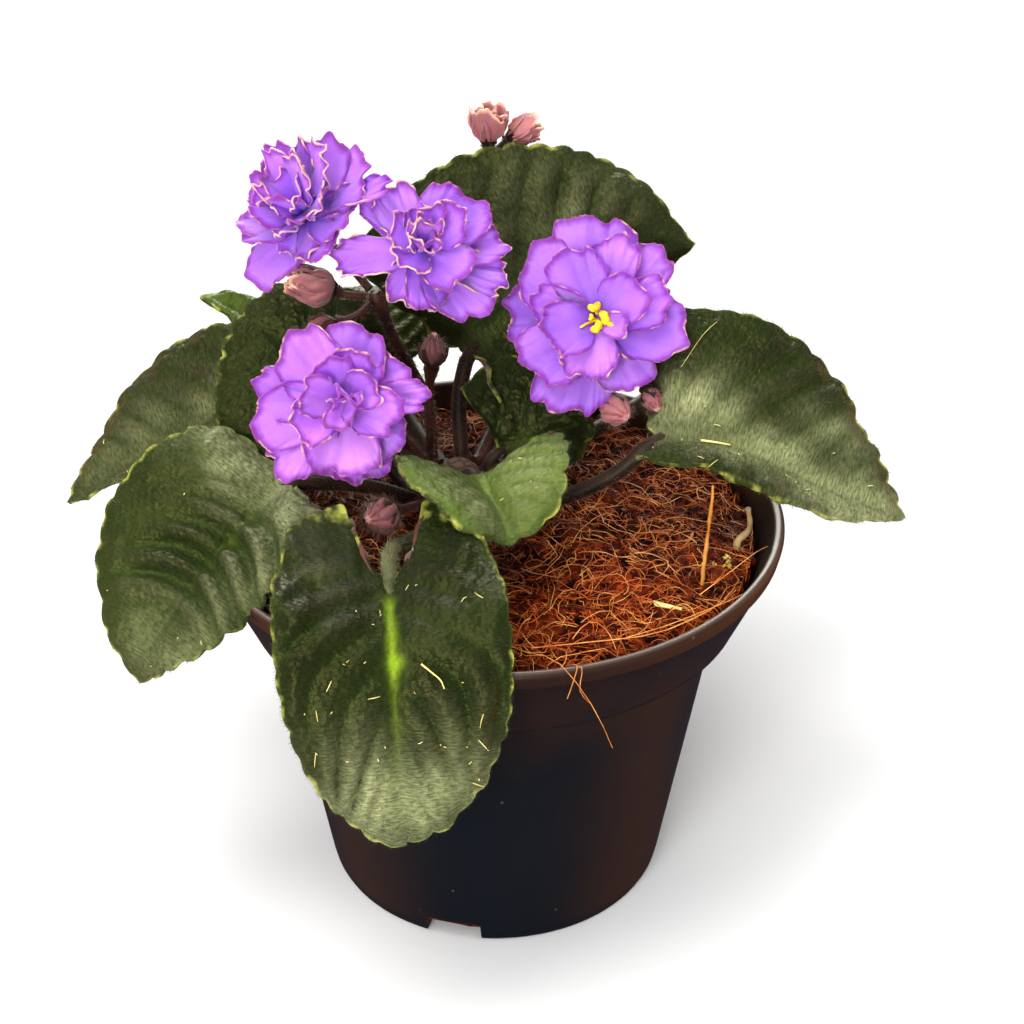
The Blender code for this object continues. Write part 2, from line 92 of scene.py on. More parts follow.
# Each leaf: azimuth and height where its stalk leaves the crown; the stalk's points; the midrib's
# points from base to tip; half widths and where each half is broadest (left, right, seen from the
# crown); roll at base and tip; fold (left, right) and curl of the margins; how far the base's lobes
# reach back, and how much of that they rise; tip (above 1 is pointed); neck, the share of the length
# that the base fills out over; cleft, how soon the lobes part from the stalk; and calm, how far from the
# base the scallops start. Then its finish: puff is the height of the bulges between the side veins, flank
# where they fade towards the margin, flow how they bend to the tip, ridges the height of arched cross
# ridges, young how fresh its green is, streak how lime its midrib is, fringe how long the margin's hairs
# are beside the others, and painted_sheen the places where a pale sheen of the hair coat is painted on
# as a highlight (place across and along, spread across and along, strength).
REAR_LEAF = dict(broad=(0.45, 0.45), fold=(8, 8), curl=-0.1, lobe=0.06, tip=0.95, streak=0.3,
                 painted_sheen=[(0, 0.7, 0.9, 0.3, 0.5)])
LEAVES = {
    "leaf_front": dict(
        azimuth=245, height=90, stalk=[(-19, -20, 96), (-21.5, -33, 101.5)],
        rib=[(-21.2, -45, 102.2), (-20.6, -54, 100.8), (-20, -62, 97.5), (-19, -72, 84), (-18, -75, 57)],
        width=(24, 23.5), broad=(0.4, 0.33), fold=(4, 4), curl=-0.06, lobe=0.36, rise=0.35,
        cleft=45, neck=0.1, calm=34, flank=(0.82, 1.0), tip=0.8, puff=2.3, flow=1.7, streak=1.0,
        painted_sheen=[(0, 0.84, 0.8, 0.19, 1.0), (-0.6, 0.1, 0.2, 0.1, 0.12)],
        stalk_finish=("pale_stalk_skin", "pale_stalk_hair")),
    "leaf_left_front": dict(
        azimuth=206, height=94, stalk=[(-28, -6, 102)],
        rib=[(-44, -12, 106.5), (-53, -21, 102), (-64, -30, 92), (-73, -37, 81), (-77, -39, 72.5)],
        width=(18, 28), broad=(0.38, 0.4), roll=(-20, -20), fold=(14, 8), curl=-0.05, lobe=0.12, tip=1.3,
        puff=1.0, young=0.1, ridges=1.5,
        painted_sheen=[(0.2, 0.05, 1.2, 0.14, 0.9), (0.4, 0.85, 0.6, 0.22, 0.5), (0.45, 0.4, 0.25, 0.12, 0.4)]),
    "leaf_left": dict(
        azimuth=171, height=90, stalk=[(-28, 11, 102)],
        rib=[(-46, 15, 110), (-62, 16, 106), (-80, 15, 98), (-99, 12, 88)],
        width=(9, 24), broad=(0.35, 0.3), roll=(-38, -30), fold=(35, 12), curl=-0.1, lobe=0.03, tip=1.6,
        puff=0.7, streak=0.0, painted_sheen=[(0.2, 0.45, 0.6, 0.6, 0.34)]),
    "leaf_left_back": dict(
        azimuth=139, height=94, stalk=[(-26, 28, 100)],
        rib=[(-38, 38, 108), (-50, 44, 115), (-61, 46, 121), (-69, 47, 124)],
        width=(7, 7), broad=(0.4, 0.4), roll=(-10, -20), fold=(15, 10), curl=-0.05, lobe=0.06, tip=1.3,
        puff=0.5, young=0.9),
    "leaf_upper_left": dict(
        azimuth=182, height=98.5, stalk=[(-18, 4, 105)],
        rib=[(-24, 6, 111), (-35, 10, 119), (-47, 15, 127), (-57, 19, 132)],
        width=(28, 19), broad=(0.5, 0.5), roll=(-48, -48), fold=(5, 5), curl=-0.06, lobe=0.12, tip=0.8,
        puff=1.2),
    "leaf_back_left": dict(
        azimuth=121, height=99, stalk=[(-20, 22, 104)],
        rib=[(-27, 30, 111), (-30, 40, 118), (-31, 48, 122), (-32, 55, 123)],
        width=(13, 16), broad=(0.5, 0.5), fold=(10, 10), curl=-0.05, lobe=0.05, tip=0.9,
        puff=0.8, young=0.2),
    "leaf_upper_right": dict(
        azimuth=84, height=100, stalk=[(-8, 16, 112)],
        rib=[(-6, 21, 121), (8, 28, 132), (28, 34, 140), (46, 37, 141)],
        width=(35, 23), broad=(0.36, 0.36), roll=(48, 50), fold=(10, -30), curl=-0.08, lobe=0.34, tip=1.5,
        puff=2.8, painted_sheen=[(0.2, 0.5, 0.6, 0.3, 0.2)]),
    "leaf_middle": dict(
        azimuth=8, height=99, stalk=[(-1, 4, 102)],
        rib=[(1, 5, 104), (8, 6, 107), (16, 6, 110), (22, 4, 112)],
        width=(20, 10), broad=(0.42, 0.42), roll=(52, 50), fold=(5, 5), curl=-0.1, lobe=0.34, tip=0.85,
        puff=0.9),
    "leaf_centre": dict(
        azimuth=287, height=99, stalk=[(-6, -9, 106)],
        rib=[(-4, -13, 109), (-1, -22, 110), (2, -30, 109), (4, -35, 105)],
        width=(21, 21), broad=(0.3, 0.3), fold=(32, 30), curl=-0.12, lobe=0.08, tip=0.75,
        puff=0.6, young=1.0, streak=0.2, painted_sheen=[(0, 0.5, 2, 0.7, 0.24)]),
    "leaf_right": dict(
        azimuth=350, height=92, stalk=[(10, -4, 96), (26, -5, 104)],
        rib=[(35, -4, 112.8), (50, -7, 114), (62, -10, 110), (75, -12, 104), (90, -12, 98)],
        width=(28.5, 9.5), broad=(0.32, 0.36), roll=(32, 24), fold=(16, 6), curl=-0.06, lobe=0.28, rise=0.5,
        tip=1.15, puff=1.4, fringe=1.4,
        painted_sheen=[(0.02, 0.6, 0.17, 0.5, 1.0), (0.25, 0.1, 0.25, 0.16, 0.7), (0.45, 0.7, 0.2, 0.2, 0.35),
               (-0.2, 0.85, 0.25, 0.2, 0.9)]),
    "leaf_right_back": dict(
        REAR_LEAF, azimuth=40, height=90, stalk=[(16, 21, 96), (31, 33, 100)],
        rib=[(43, 42, 102), (58, 52, 101), (71, 60, 96), (81, 65, 88)], width=(21, 21), puff=1.2, young=0.1),
    "leaf_back": dict(
        REAR_LEAF, azimuth=74, height=94, stalk=[(0, 26, 99), (6, 40, 104)],
        rib=[(9, 50, 106), (12, 64, 106), (14, 77, 100), (15, 86, 90)], width=(20, 20), puff=1.3, young=0.15),
    "leaf_left_rear": dict(
        REAR_LEAF, azimuth=106, height=90, stalk=[(-16, 26, 94), (-26, 42, 97)],
        rib=[(-31, 52, 98), (-38, 64, 97), (-43, 74, 92), (-46, 81, 84)],
        width=(17, 17), puff=1.1, young=0.2),
}

# Each flower stem: azimuth and height of its seat on the crown, then its route to the branching
FLOWER_STEMS = {
    "flower_stem_left": dict(azimuth=146, height=101.5, route=[(-15, 8, 116), (-21, 5, 131), (-25, 4, 143)]),
    "flower_stem_right": dict(azimuth=40, height=102, route=[(2, 14.5, 109), (9, 18.5, 118), (18, 17, 127)]),
    "flower_stem_back": dict(
        azimuth=57, height=97.5, route=[(1, 20, 104), (2, 37, 124), (0, 48, 144), (-1, 49, 157)]),
    "flower_stem_front": dict(azimuth=222, height=100, route=[(-17, -5, 110), (-24, -7, 118)]),
}

# Each petal: turn from the flower's right, reach, width, lift off the flower's back, rise (degrees it
# leaves the face by), curl (degrees it turns up on the way out), cup, frill height and blush.
FLOWERS = {
    "flower_front": dict(
        at=(-32, -15, 127.5), faces=(0.1, -0.85, 0.45), stem="flower_stem_front",
        outer_petals=[
            (73, 17.5, 13, 0.5, 6, 10, 0.1, 0.5, 0.55), (26, 16.5, 11, 0.0, 6, 18, 0.22, 0.6, 0.65),
            (2, 19.5, 7, 0.9, 14, 0, 0.55, 0.7, 0.85), (-42, 16.5, 11, 0.1, 4, 4, 0.05, 0.5, 0.55),
            (-72, 18.3, 12, 0.3, 0, 2, 0.05, 0.5, 0.5), (-107, 16.5, 12, 0.0, 2, 2, 0.05, 0.5, 0.7),
            (-138, 20.0, 12, 0.6, 6, 2, 0.1, 0.9, 0.85), (192, 19.0, 14, 0.9, 6, 8, 0.1, 0.5, 0.5),
            (169, 19.0, 11, 0.2, 4, 6, 0.1, 0.8, 0.6), (126, 17.6, 15, 0.8, 8, 10, 0.12, 0.7, 1)],
        inner_petals=[
            (-92, 15.6, 16, 2.8, 10, -6, 0.08, 0.9, 1.3), (108, 12.5, 9, 3.0, 26, 26, 0.3, 0.9, 0.6),
            (62, 13.5, 11, 2.6, 20, 24, 0.25, 1.0, 0.8), (30, 11.0, 9, 3.0, 30, 24, 0.4, 1.0, 0.7),
            (163, 12.5, 9, 3.2, 34, 20, 0.5, 0.9, 0.8), (207, 13.5, 10, 3.4, 26, 8, 0.4, 1.1, 1.05),
            (-20, 13.5, 11, 2.8, 20, 8, 0.3, 1.0, 0.65)],
        centre_petals=[
            (42, 8.0, 8, 4.2, 45, 70, 0.35, 0.9, 1.25), (-108, 8.5, 6, 4.8, 30, 30, 0.6, 0.4, 1.5),
            (150, 6.5, 5, 4.4, 60, 40, 0.4, 1.0, 1.2), (95, 6.5, 6, 4.2, 60, 50, 0.4, 1.0, 1),
            (-30, 8.0, 7, 4.2, 46, 40, 0.45, 0.8, 0.9)]),
    "flower_right": dict(
        at=(23, 9, 135), faces=(-0.05, -0.83, 0.5), stem="flower_stem_right",
        outer_petals=[
            (97, 23.0, 19, 0.2, 3, 6, 0.08, 0.5, 0.25), (54, 20.0, 15, 0.0, 3, 6, 0.08, 0.6, 0.4),
            (-4, 19.0, 17, 0.7, 4, 8, 0.08, 0.8, 0.1), (-60, 17.5, 13, 0.2, 2, -4, 0.0, 0.25, 0.3),
            (-113, 22.0, 17, 0.0, 2, -2, 0.0, 0.7, 0.1), (217, 19.5, 15, 1.3, 8, 4, 0.12, 0.5, 0.25),
            (180, 21.0, 15, 0.1, 3, 8, 0.06, 0.8, 0.05), (139, 21.2, 16, 1.1, 5, 4, 0.08, 0.4, 0.45)],
        inner_petals=[
            (118, 17.3, 12, 2.8, 14, 8, 0.1, 0.7, 0.1), (78, 18.5, 12, 2.2, 8, 8, 0.08, 0.7, 0.55),
            (40, 13.0, 12, 3.3, 20, 22, 0.3, 0.7, 0.15), (20, 17.0, 11, 2.5, 8, 10, 0.2, 0.8, 0.5),
            (170, 15.5, 10, 2.6, 10, 12, 0.22, 0.9, 0.45), (202, 14.0, 12, 3.2, 24, 10, 0.32, 0.9, 0.0),
            (257, 14.2, 12, 3.2, 12, -4, 0.08, 1.0, 0.95), (-22, 9.5, 6, 3.3, 34, 20, 0.55, 1.0, 0.5)]),
    "flower_upper_left": dict(
        at=(-39, 8, 159.5), faces=(-0.35, -0.5, 0.75), stem="flower_stem_left",
        outer_petals=[
            (187, 16.5, 14, 0.2, 0, 12, 0.15, 0.5, 0.2), (171, 14.0, 11, 1.5, 12, 14, 0.3, 0.5, 0.3),
            (236, 19.0, 15, 0.0, -12, -14, 0.0, 0.6, 0.0), (212, 14.5, 12, 1.4, -2, 6, 0.2, 0.6, 0.1),
            (140, 16.0, 6, 0.8, 18, 6, 0.5, 0.6, 0.3), (98, 17.0, 15, 0.4, 14, 10, 0.12, 0.7, 0.4),
            (56, 17.8, 14, 0.2, 10, 10, 0.1, 0.8, 0.35), (34, 21.5, 6, 0.9, 8, 0, 0.35, 0.9, 0.2),
            (6, 12.0, 12, 0.5, 6, 6, 0.15, 0.8, 0.1), (318, 11.0, 11, 0.4, 0, -6, 0.1, 0.7, 0.1),
            (276, 9.5, 12, 0.5, -2, -10, 0.1, 1.5, 0.2)],
        inner_petals=[
            (250, 9.5, 11, 2.4, 20, 14, 0.45, 1.5, 0.2), (203, 12.0, 11, 2.6, 30, 16, 0.4, 0.7, 0.15),
            (160, 11.5, 9, 2.8, 36, 14, 0.35, 0.8, 0.3), (117, 15.0, 12, 2.6, 42, 10, 0.2, 1.2, 0.4),
            (74, 16.0, 12, 2.6, 40, 10, 0.22, 1.3, 0.45), (30, 12.5, 11, 2.4, 36, 16, 0.3, 1.2, 0.25),
            (335, 9.5, 9, 2.6, 34, 14, 0.4, 1.0, 0.15)],
        centre_petals=[
            (10, 9.5, 8, 3.8, 60, 20, 0.4, 1.2, 0.3), (70, 13.0, 9, 3.8, 60, 10, 0.3, 1.4, 0.5),
            (112, 14.0, 9, 3.6, 56, 8, 0.3, 1.3, 0.4), (158, 10.5, 9, 3.8, 58, 20, 0.35, 1.2, 0.4),
            (215, 9.5, 9, 3.8, 56, 24, 0.45, 1.0, 0.2), (290, 8.5, 8, 3.8, 56, 30, 0.5, 1.0, 0.3)]),
    "flower_top": dict(
        at=(-15.8, 5, 153.2), faces=(0.2, -0.7, 0.65), stem="flower_stem_left",
        outer_petals=[
            (110, 16.0, 10, 0.9, 10, -4, 0.1, 1.4, 0.5), (124, 17.5, 9, 0.2, 6, 4, 0.15, 0.8, 0.2),
            (37, 16.8, 15, 0.8, 8, 10, 0.12, 0.7, 0.1), (-3, 19.0, 9, 0.4, 4, 6, 0.2, 0.6, 0.3),
            (-29, 20.5, 8, 0.1, -2, 8, 0.25, 1.5, 0.2), (-52, 19.0, 15, 0.3, 0, -4, 0.08, 0.7, 0.2),
            (-86, 13.5, 10, 0.6, 2, -4, 0.1, 0.7, 0.1), (250, 12.0, 11, 0.5, -4, -10, 0.1, 1.5, 0.2),
            (180, 19.0, 9, 0.4, -2, -6, 0.35, 1.5, 0.45)],
        inner_petals=[
            (-50, 12.5, 12, 2.4, 14, 8, 0.15, 0.6, 0.3), (28, 11.5, 10, 2.6, 26, 20, 0.3, 0.9, 0.2),
            (82, 10.0, 9, 2.6, 34, 18, 0.3, 1.1, 0.3), (150, 9.5, 8, 2.6, 30, 10, 0.4, 1.1, 0.4),
            (225, 9.0, 9, 2.6, 26, 10, 0.4, 1.2, 0.25)],
        centre_petals=[
            (10, 7.5, 7, 3.8, 55, 40, 0.4, 1.0, 0.6), (85, 8.5, 8, 3.8, 62, 20, 0.35, 1.2, 0.9),
            (150, 9.0, 8, 3.8, 58, 20, 0.35, 1.2, 0.9), (225, 7.5, 7, 3.8, 55, 30, 0.45, 1.1, 0.6),
            (300, 6.5, 7, 3.8, 48, 60, 0.6, 0.6, 0.6)]),
}

# Each bud: what it grows from, the bends of its stalk, its middle, its radius and length, how open
# its top is, how hairy and how pink it is, and how deep its ribs are
BUDS = {
    "bud_left_large": dict(
        stem="flower_stem_left", route=[(-31, 3, 144)], at=(-38, 3, 146), size=(4.6, 9),
        opening=0.3, fuzz=0.3, pink=0.5, ribs=0.34),
    "bud_left_hanging": dict(
        stem="flower_stem_left", route=[(-29, -1, 141)], at=(-37, -2, 138), size=(3.2, 8),
        opening=0.0, fuzz=0.5, pink=0.15, ribs=0.25),
    "bud_middle": dict(
        seat=(196, 103), route=[(-14, 0, 112), (-14, 1, 122)], at=(-13, 1, 132), size=(3.0, 8),
        opening=0.0, fuzz=0.7, pink=0.05, ribs=0.2),
    "bud_top_open": dict(
        stem="flower_stem_back", route=[(-1.5, 49, 161)], at=(-1.5, 49, 164.5), size=(5.0, 8.5),
        opening=0.9, fuzz=0.3, pink=0.9, ribs=0),
    "bud_top_second": dict(
        stem="flower_stem_back", route=[(3, 52, 160)], at=(6, 53, 161.5), size=(3.6, 7),
        opening=0.7, fuzz=0.3, pink=0.9, ribs=0),
    "bud_right_round": dict(
        stem="flower_stem_right", route=[(20, 13, 121), (24, 6, 117)], at=(27, 1, 117), size=(3.9, 8),
        opening=0.1, fuzz=0.9, pink=0.8, ribs=0.28),
    "bud_right_hairy": dict(
        stem="flower_stem_right", route=[(26, 15, 123), (33, 9, 120)], at=(35, 4, 118), size=(2.7, 6),
        opening=0.0, fuzz=1.6, pink=0.8, ribs=0.2),
    "bud_front_young": dict(
        seat=(240, 97), route=[(-16, -12, 101)], at=(-24, -23, 104.5), size=(4.0, 9),
        opening=0.0, fuzz=2.4, pink=0.45, ribs=0.45),
}

# Each loose straw: its foot on the coir, how high its middle line starts, its route, radius and finish;
# and, for a flat chip, the share of its height that is left
STRAWS = {
    "straw_upright": dict(
        foot=(45, -24), lift=0.4, route=[(46, -21, 98), (47, -18, 109)], radius=0.5, finish="golden_straw"),
    "dry_root": dict(
        foot=(54, -9), lift=0.5, route=[(54, -9, 89.5), (56.5, -8, 92), (56, -9, 98)], radius=0.85,
        finish="dry_root_bark"),
    "straw_chip": dict(
        foot=(34, -33), lift=2.8, route=[(37, -34, 88.6), (40, -35, 88.4)], radius=0.95, finish="pale_chaff",
        pressed=0.45),
}

# Longer straws and a thread that lie on leaves: the spots they pass, seen from above, and their radius
LAID_STRAWS = {
    "leaf_front": [([(-13.5, -65), (-12, -66.4), (-10.2, -67.6), (-9.4, -69)], 0.26)],
    "leaf_right": [([(45, -7), (48, -7.2), (51.5, -8.2)], 0.32),
                   ([(36, 3.5), (41, 5), (46, 8.5), (49, 11)], 0.10)],
}

# How many crumbs of straw lie on each leaf
CRUMBS = {"leaf_front": 34, "leaf_left_front": 5, "leaf_left": 4, "leaf_upper_right": 5, "leaf_centre": 3,
          "leaf_right": 12, "leaf_right_back": 7, "leaf_back": 7}


def coir_height(x, y):
    """The top of the coir: a low mound with a few gentle lumps."""
    mound = COIR_MOUND * (1 - (x * x + y * y) / RIM_R ** 2)
    lumps = 0.7 * np.sin(x / 7.0) * np.cos(y / 9.0) + 0.5 * np.sin((x + y) / 5.0)
    return COIR_EDGE_Z + mound + lumps


def inner_radius(z):
    """The pot's inside radius at a height."""
    shoulder = POT_H - COLLAR_H
    if z < shoulder:
        return BASE_R + (WALL_TOP_R - BASE_R) * z / shoulder - WALL
    return COLLAR_R + (RIM_R - COLLAR_R) * (z - shoulder) / COLLAR_H - LIP


def crown_radius(z):
    low = float(coir_height(*CROWN_AT))
    return CROWN_R + (CROWN_TOP_R - CROWN_R) * (z - low) / (CROWN_TOP_Z - low)


def seat(azimuth, z, reach=0.0):
    """A place just off the crown's side, or further out along that azimuth."""
    turn = math.radians(azimuth)
    r = crown_radius(z) + GAP + 0.15 + reach
    return (CROWN_AT[0] + r * math.cos(turn), CROWN_AT[1] + r * math.sin(turn), z)


def branch_start(stem, toward):
    """Where a branch leaves the end of a flower stem on its way to a point."""
    node = Vector(FLOWER_STEMS[stem]["route"][-1])
    return node + (Vector(toward) - node).normalized() * NODE_REACH


# -------- lines, waves and vectors

def lerp(a, b, t):
    return a + (b - a) * t


def smooth_step(low, high, value):
    t = np.clip((value - low) / (high - low), 0.0, 1.0)
    return t * t * (3 - 2 * t)


def unit(vectors):
    length = np.linalg.norm(vectors, axis=-1, keepdims=True)
    return vectors / np.maximum(length, 1e-9)


def run_along(points):
    """How far along a line each of its points is."""
    return np.concatenate([[0.0], np.cumsum(np.linalg.norm(np.diff(points, axis=0), axis=1))])


def rows_at(want, run, rows):
    """Rows of three numbers, read off between the places that they are known at."""
    return np.stack([np.interp(want, run, rows[:, k]) for k in range(3)], axis=1)


def smooth_path(points, count):
    """Evenly spaced points on a Catmull-Rom curve through the given ones."""
    steps = 24
    pts = np.array(points, float)
    pts = np.vstack([2 * pts[0] - pts[1], pts, 2 * pts[-1] - pts[-2]])
    t = (np.arange(steps) / steps)[:, None]
    fine = []
    for a, b, c, d in zip(pts, pts[1:], pts[2:], pts[3:]):
        fine.append(0.5 * (2 * b + (c - a) * t + (2 * a - 5 * b + 4 * c - d) * t * t
                           + (3 * b - a - 3 * c + d) * t ** 3))
    fine = np.vstack([*fine, pts[-2:-1]])
    run = run_along(fine)
    return rows_at(np.linspace(0, run[-1], count), run, fine)


def tangents(path):
    ends = np.vstack([path[:1], path, path[-1:]])
    return unit(ends[2:] - ends[:-2])


def waves(points, size, seed, count=7):
    """Smooth random lumps about one size across, from -1 to 1, made of crossed sine waves."""
    rng = np.random.default_rng(seed)
    total = np.zeros(points.shape[:-1])
    for _ in range(count):
        way = unit(rng.normal(size=points.shape[-1]))
        total += np.sin(points @ way * math.tau / (size * rng.uniform(1.1, 2.4)) + rng.uniform(0, math.tau))
    return total / math.sqrt(count * 1.6)


# -------- making meshes

def added(operator, **options):
    """Run an operator that adds one object, with nothing else selected, and return the object."""
    bpy.ops.object.select_all(action="DESELECT")
    operator(**options)
    return bpy.context.object


def linked(name, data):
    """A new object for a mesh or a curve, linked to the scene."""
    obj = bpy.data.objects.new(name, data)
    bpy.context.scene.collection.objects.link(obj)
    return obj


def pick(*objects):
    """Select these objects alone, and make the first the active one."""
    bpy.ops.object.select_all(action="DESELECT")
    for obj in objects:
        obj.select_set(True)
    bpy.context.view_layer.objects.active = objects[0]


def rename(obj, name):
    obj.name = name
    obj.data.name = name


def points_of(obj):
    """An object's points, as rows."""
    flat = np.zeros(len(obj.data.vertices) * 3)
    obj.data.vertices.foreach_get("co", flat)
    return flat.reshape(-1, 3)


def lay_grid(columns, rows):
    """A flat grid that a piece starts from, with each point's share across and along it."""
    obj = added(bpy.ops.mesh.primitive_grid_add, x_subdivisions=columns, y_subdivisions=rows, size=1.0)
    flat = points_of(obj)
    return obj, flat[:, 0] + 0.5, flat[:, 1] + 0.5


def set_points(obj, points_mm):
    obj.data.vertices.foreach_set("co", np.asarray(points_mm, np.float32).ravel() * MM)
    obj.data.update()


def set_values(obj, **values):
    """Store numbers a point, which a material reads by their names."""
    for name, numbers in values.items():
        numbers = np.broadcast_to(np.asarray(numbers, np.float32), len(obj.data.vertices))
        obj.data.attributes.new(name, "FLOAT", "POINT").data.foreach_set("value", numbers)


def set_flat_map(obj, flat_mm):
    """Lay the piece's UV map out by its flat size, a hundred millimetres to the unit."""
    ends = np.zeros(len(obj.data.loops), np.int32)
    obj.data.loops.foreach_get("vertex_index", ends)
    obj.data.uv_layers.active.data.foreach_set("uv", (flat_mm[ends] / 100).astype(np.float32).ravel())


def merge_points(obj, distance=0.00002):
    pick(obj)
    bpy.ops.object.mode_set(mode="EDIT")
    bpy.ops.mesh.select_all(action="SELECT")
    bpy.ops.mesh.remove_doubles(threshold=distance)
    bpy.ops.object.mode_set(mode="OBJECT")


def modify(obj, kind, **settings):
    """Add one modifier and apply it."""
    step = obj.modifiers.new(kind, kind)
    for name, value in settings.items():
        setattr(step, name, value)
    pick(obj)
    bpy.ops.object.modifier_apply(modifier=step.name)


def thicken(obj, thickness_mm, offset=-1.0, back_slot=0):
    """Turn a sheet into a closed wall, whose back can take another material slot."""
    modify(obj, "SOLIDIFY", thickness=thickness_mm * MM, offset=offset, use_even_offset=False,
           material_offset=back_slot, material_offset_rim=0)


def smooth(obj, angle=60.0):
    pick(obj)
    bpy.ops.object.shade_smooth_by_angle(angle=math.radians(angle), keep_sharp_edges=False)


def join(objects, name):
    """Join finished objects into the first, which keeps its place at the origin."""
    pick(*objects)
    bpy.ops.object.join()
    rename(objects[0], name)
    return objects[0]


def rods(paths, materials, resolution=2):
    """Round closed rods from curves: each path has its points, its radii and its material's place."""
    curve = bpy.data.curves.new("rods", "CURVE")
    curve.dimensions = "3D"
    curve.bevel_depth = MM
    curve.bevel_resolution = resolution
    curve.use_fill_caps = True
    for points, radii, slot in paths:
        line = curve.splines.new("POLY")
        line.points.add(len(points) - 1)
        packed = np.ones((len(points), 4), np.float32)
        packed[:, :3] = np.asarray(points) * MM
        line.points.foreach_set("co", packed.ravel())
        line.points.foreach_set("radius", np.asarray(radii, np.float32))
        line.material_index = slot
    for mat in materials:
        curve.materials.append(mat)
    pick(linked("rods", curve))
    bpy.ops.object.convert(target="MESH")
    obj = bpy.context.object
    smooth(obj)
    return obj


def sliver_mesh(name, points, faces, mat):
    mesh = bpy.data.meshes.new(name)
    mesh.from_pydata((points.reshape(-1, 3) * MM).tolist(), [], faces)
    mesh.materials.append(mat)
    mesh.uv_layers.new(name="UVMap")
    return linked(name, mesh)


def three_round(middles, ways, radii, aside):
    """Three points round each point of some lines, square to their ways."""
    side = unit(np.cross(ways, np.array(aside)))
    other = np.cross(ways, side)
    turns = [math.tau * k / 3 for k in range(3)]
    return np.stack([middles + radii * (side * math.cos(turn) + other * math.sin(turn)) for turn in turns],
                    axis=-2)


def fine_rods(name, lines, radii, mat):
    """Closed three-sided rods, for fibres too thin to need round ones, made all at once."""
    n, m = lines.shape[:2]
    points = three_round(lines, unit(np.gradient(lines, axis=1)), radii[..., None], (0.13, 0.22, 0.97))
    start = (3 * m * np.arange(n))[:, None, None]
    ring = 3 * np.arange(m - 1)[:, None]
    quads = [ring + np.array([k, (k + 1) % 3, (k + 1) % 3 + 3, k + 3]) for k in range(3)]
    quads = (start + np.concatenate(quads)[None]).reshape(-1, 4)
    caps = (start + np.array([(2, 1, 0), (3 * m - 3, 3 * m - 2, 3 * m - 1)])[None]).reshape(-1, 3)
    obj = sliver_mesh(name, points, quads.tolist() + caps.tolist(), mat)
    smooth(obj, 80)
    return obj


def hair_coat(roots, ways, lengths, width, mat):
    """Tapered hairs, each a closed sliver of four faces from its root along its way."""
    n = len(roots)
    ways = unit(ways)
    tips = roots + ways * np.broadcast_to(np.asarray(lengths, float), n)[:, None]
    points = np.concatenate([three_round(roots, ways, width / 2, (0.31, 0.17, 0.93)), tips[:, None]], axis=1)
    faces = np.array([(0, 1, 3), (1, 2, 3), (2, 0, 3), (2, 1, 0)]) + 4 * np.arange(n)[:, None, None]
    return sliver_mesh("hairs", points, faces.reshape(-1, 3).tolist(), mat)


def downy_stalk(path, radii, skin, down, per_mm, length, width, seed, resolution=2, downy=None):
    """A stalk and the fine hairs that stand out all round its first points."""
    rod = rods([(path, radii, 0)], [skin], resolution)
    rng = np.random.default_rng(seed)
    path = np.asarray(path, float)[:downy]
    run = run_along(path)
    n = max(int(run[-1] * per_mm), 3)
    along = rng.uniform(0, run[-1], n)
    way = unit(rows_at(along, run, tangents(path)))
    radius = np.interp(along, run, radii[:downy])[:, None]
    side = unit(np.cross(way, np.array([0.3, 1.0, 0.2])))
    other = np.cross(way, side)
    turn = rng.uniform(0, math.tau, n)[:, None]
    out = side * np.cos(turn) + other * np.sin(turn)
    lean = way * rng.uniform(-0.2, 0.8, n)[:, None] + rng.normal(0, 0.15, (n, 3))
    roots = rows_at(along, run, path) + out * radius * 0.9
    return [rod, hair_coat(roots, out + lean, length * rng.uniform(0.6, 1.2, n), width, down)]


def finish_piece(obj, slot, *nodes):
    """The piece rides on the plant's one body and stands for its CAD nodes; slot is not used."""
    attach(obj, BODY)
    if nodes:
        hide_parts(*nodes)


# -------- materials

# What is mixed here is always a colour
USUAL_SETTINGS = {"Mix": {"data_type": "RGBA"}}


def linear(hex_colour):
    """An sRGB hex colour as linear red, green and blue."""
    shares = [int(hex_colour[k:k + 2], 16) / 255 for k in (1, 3, 5)]
    return tuple(c / 12.92 if c <= 0.04045 else ((c + 0.055) / 1.055) ** 2.4 for c in shares)


def feed(tree, node, inputs):
    """Give a node's inputs what they take: a number, a hex or settings colour, a socket, or a node, which
    stands for the first of its outputs in use."""
    for name, value in inputs.items():
        if isinstance(value, bpy.types.Node):
            value = next(end for end in value.outputs if end.enabled)
        if isinstance(value, bpy.types.NodeSocket):
            tree.links.new(value, node.inputs[name])
        elif isinstance(value, str):
            node.inputs[name].default_value = (*linear(value), 1.0)
        elif isinstance(value, Color):
            node.inputs[name].default_value = (*value, 1.0)
        else:
            node.inputs[name].default_value = value


def add_node(tree, kind, inputs=None, stops=(), span=(), **settings):
    """Add one node with its settings, a ramp's stops, a range's span (from low and high, to low and high),
    its plain values and its links."""
    node = tree.nodes.new("ShaderNode" + kind)
    for name, value in {**USUAL_SETTINGS.get(kind, {}), **settings}.items():
        setattr(node, name, value)
    for k, (place, colour) in enumerate(stops):
        element = node.color_ramp.elements[k] if k < 2 else node.color_ramp.elements.new(1.0)
        element.position = place
        element.color = (*linear(colour), 1.0)
    feed(tree, node, dict(zip(("From Min", "From Max", "To Min", "To Max"), span)))
    feed(tree, node, inputs or {})
    return node


def new_material(name):
    """A material of its Principled shader alone; returns it, its tree, shader and Object coordinates."""
    mat = bpy.data.materials.new(name)
    mat.use_nodes = True
    tree = mat.node_tree
    return mat, tree, tree.nodes["Principled BSDF"], add_node(tree, "TexCoord").outputs["Object"]


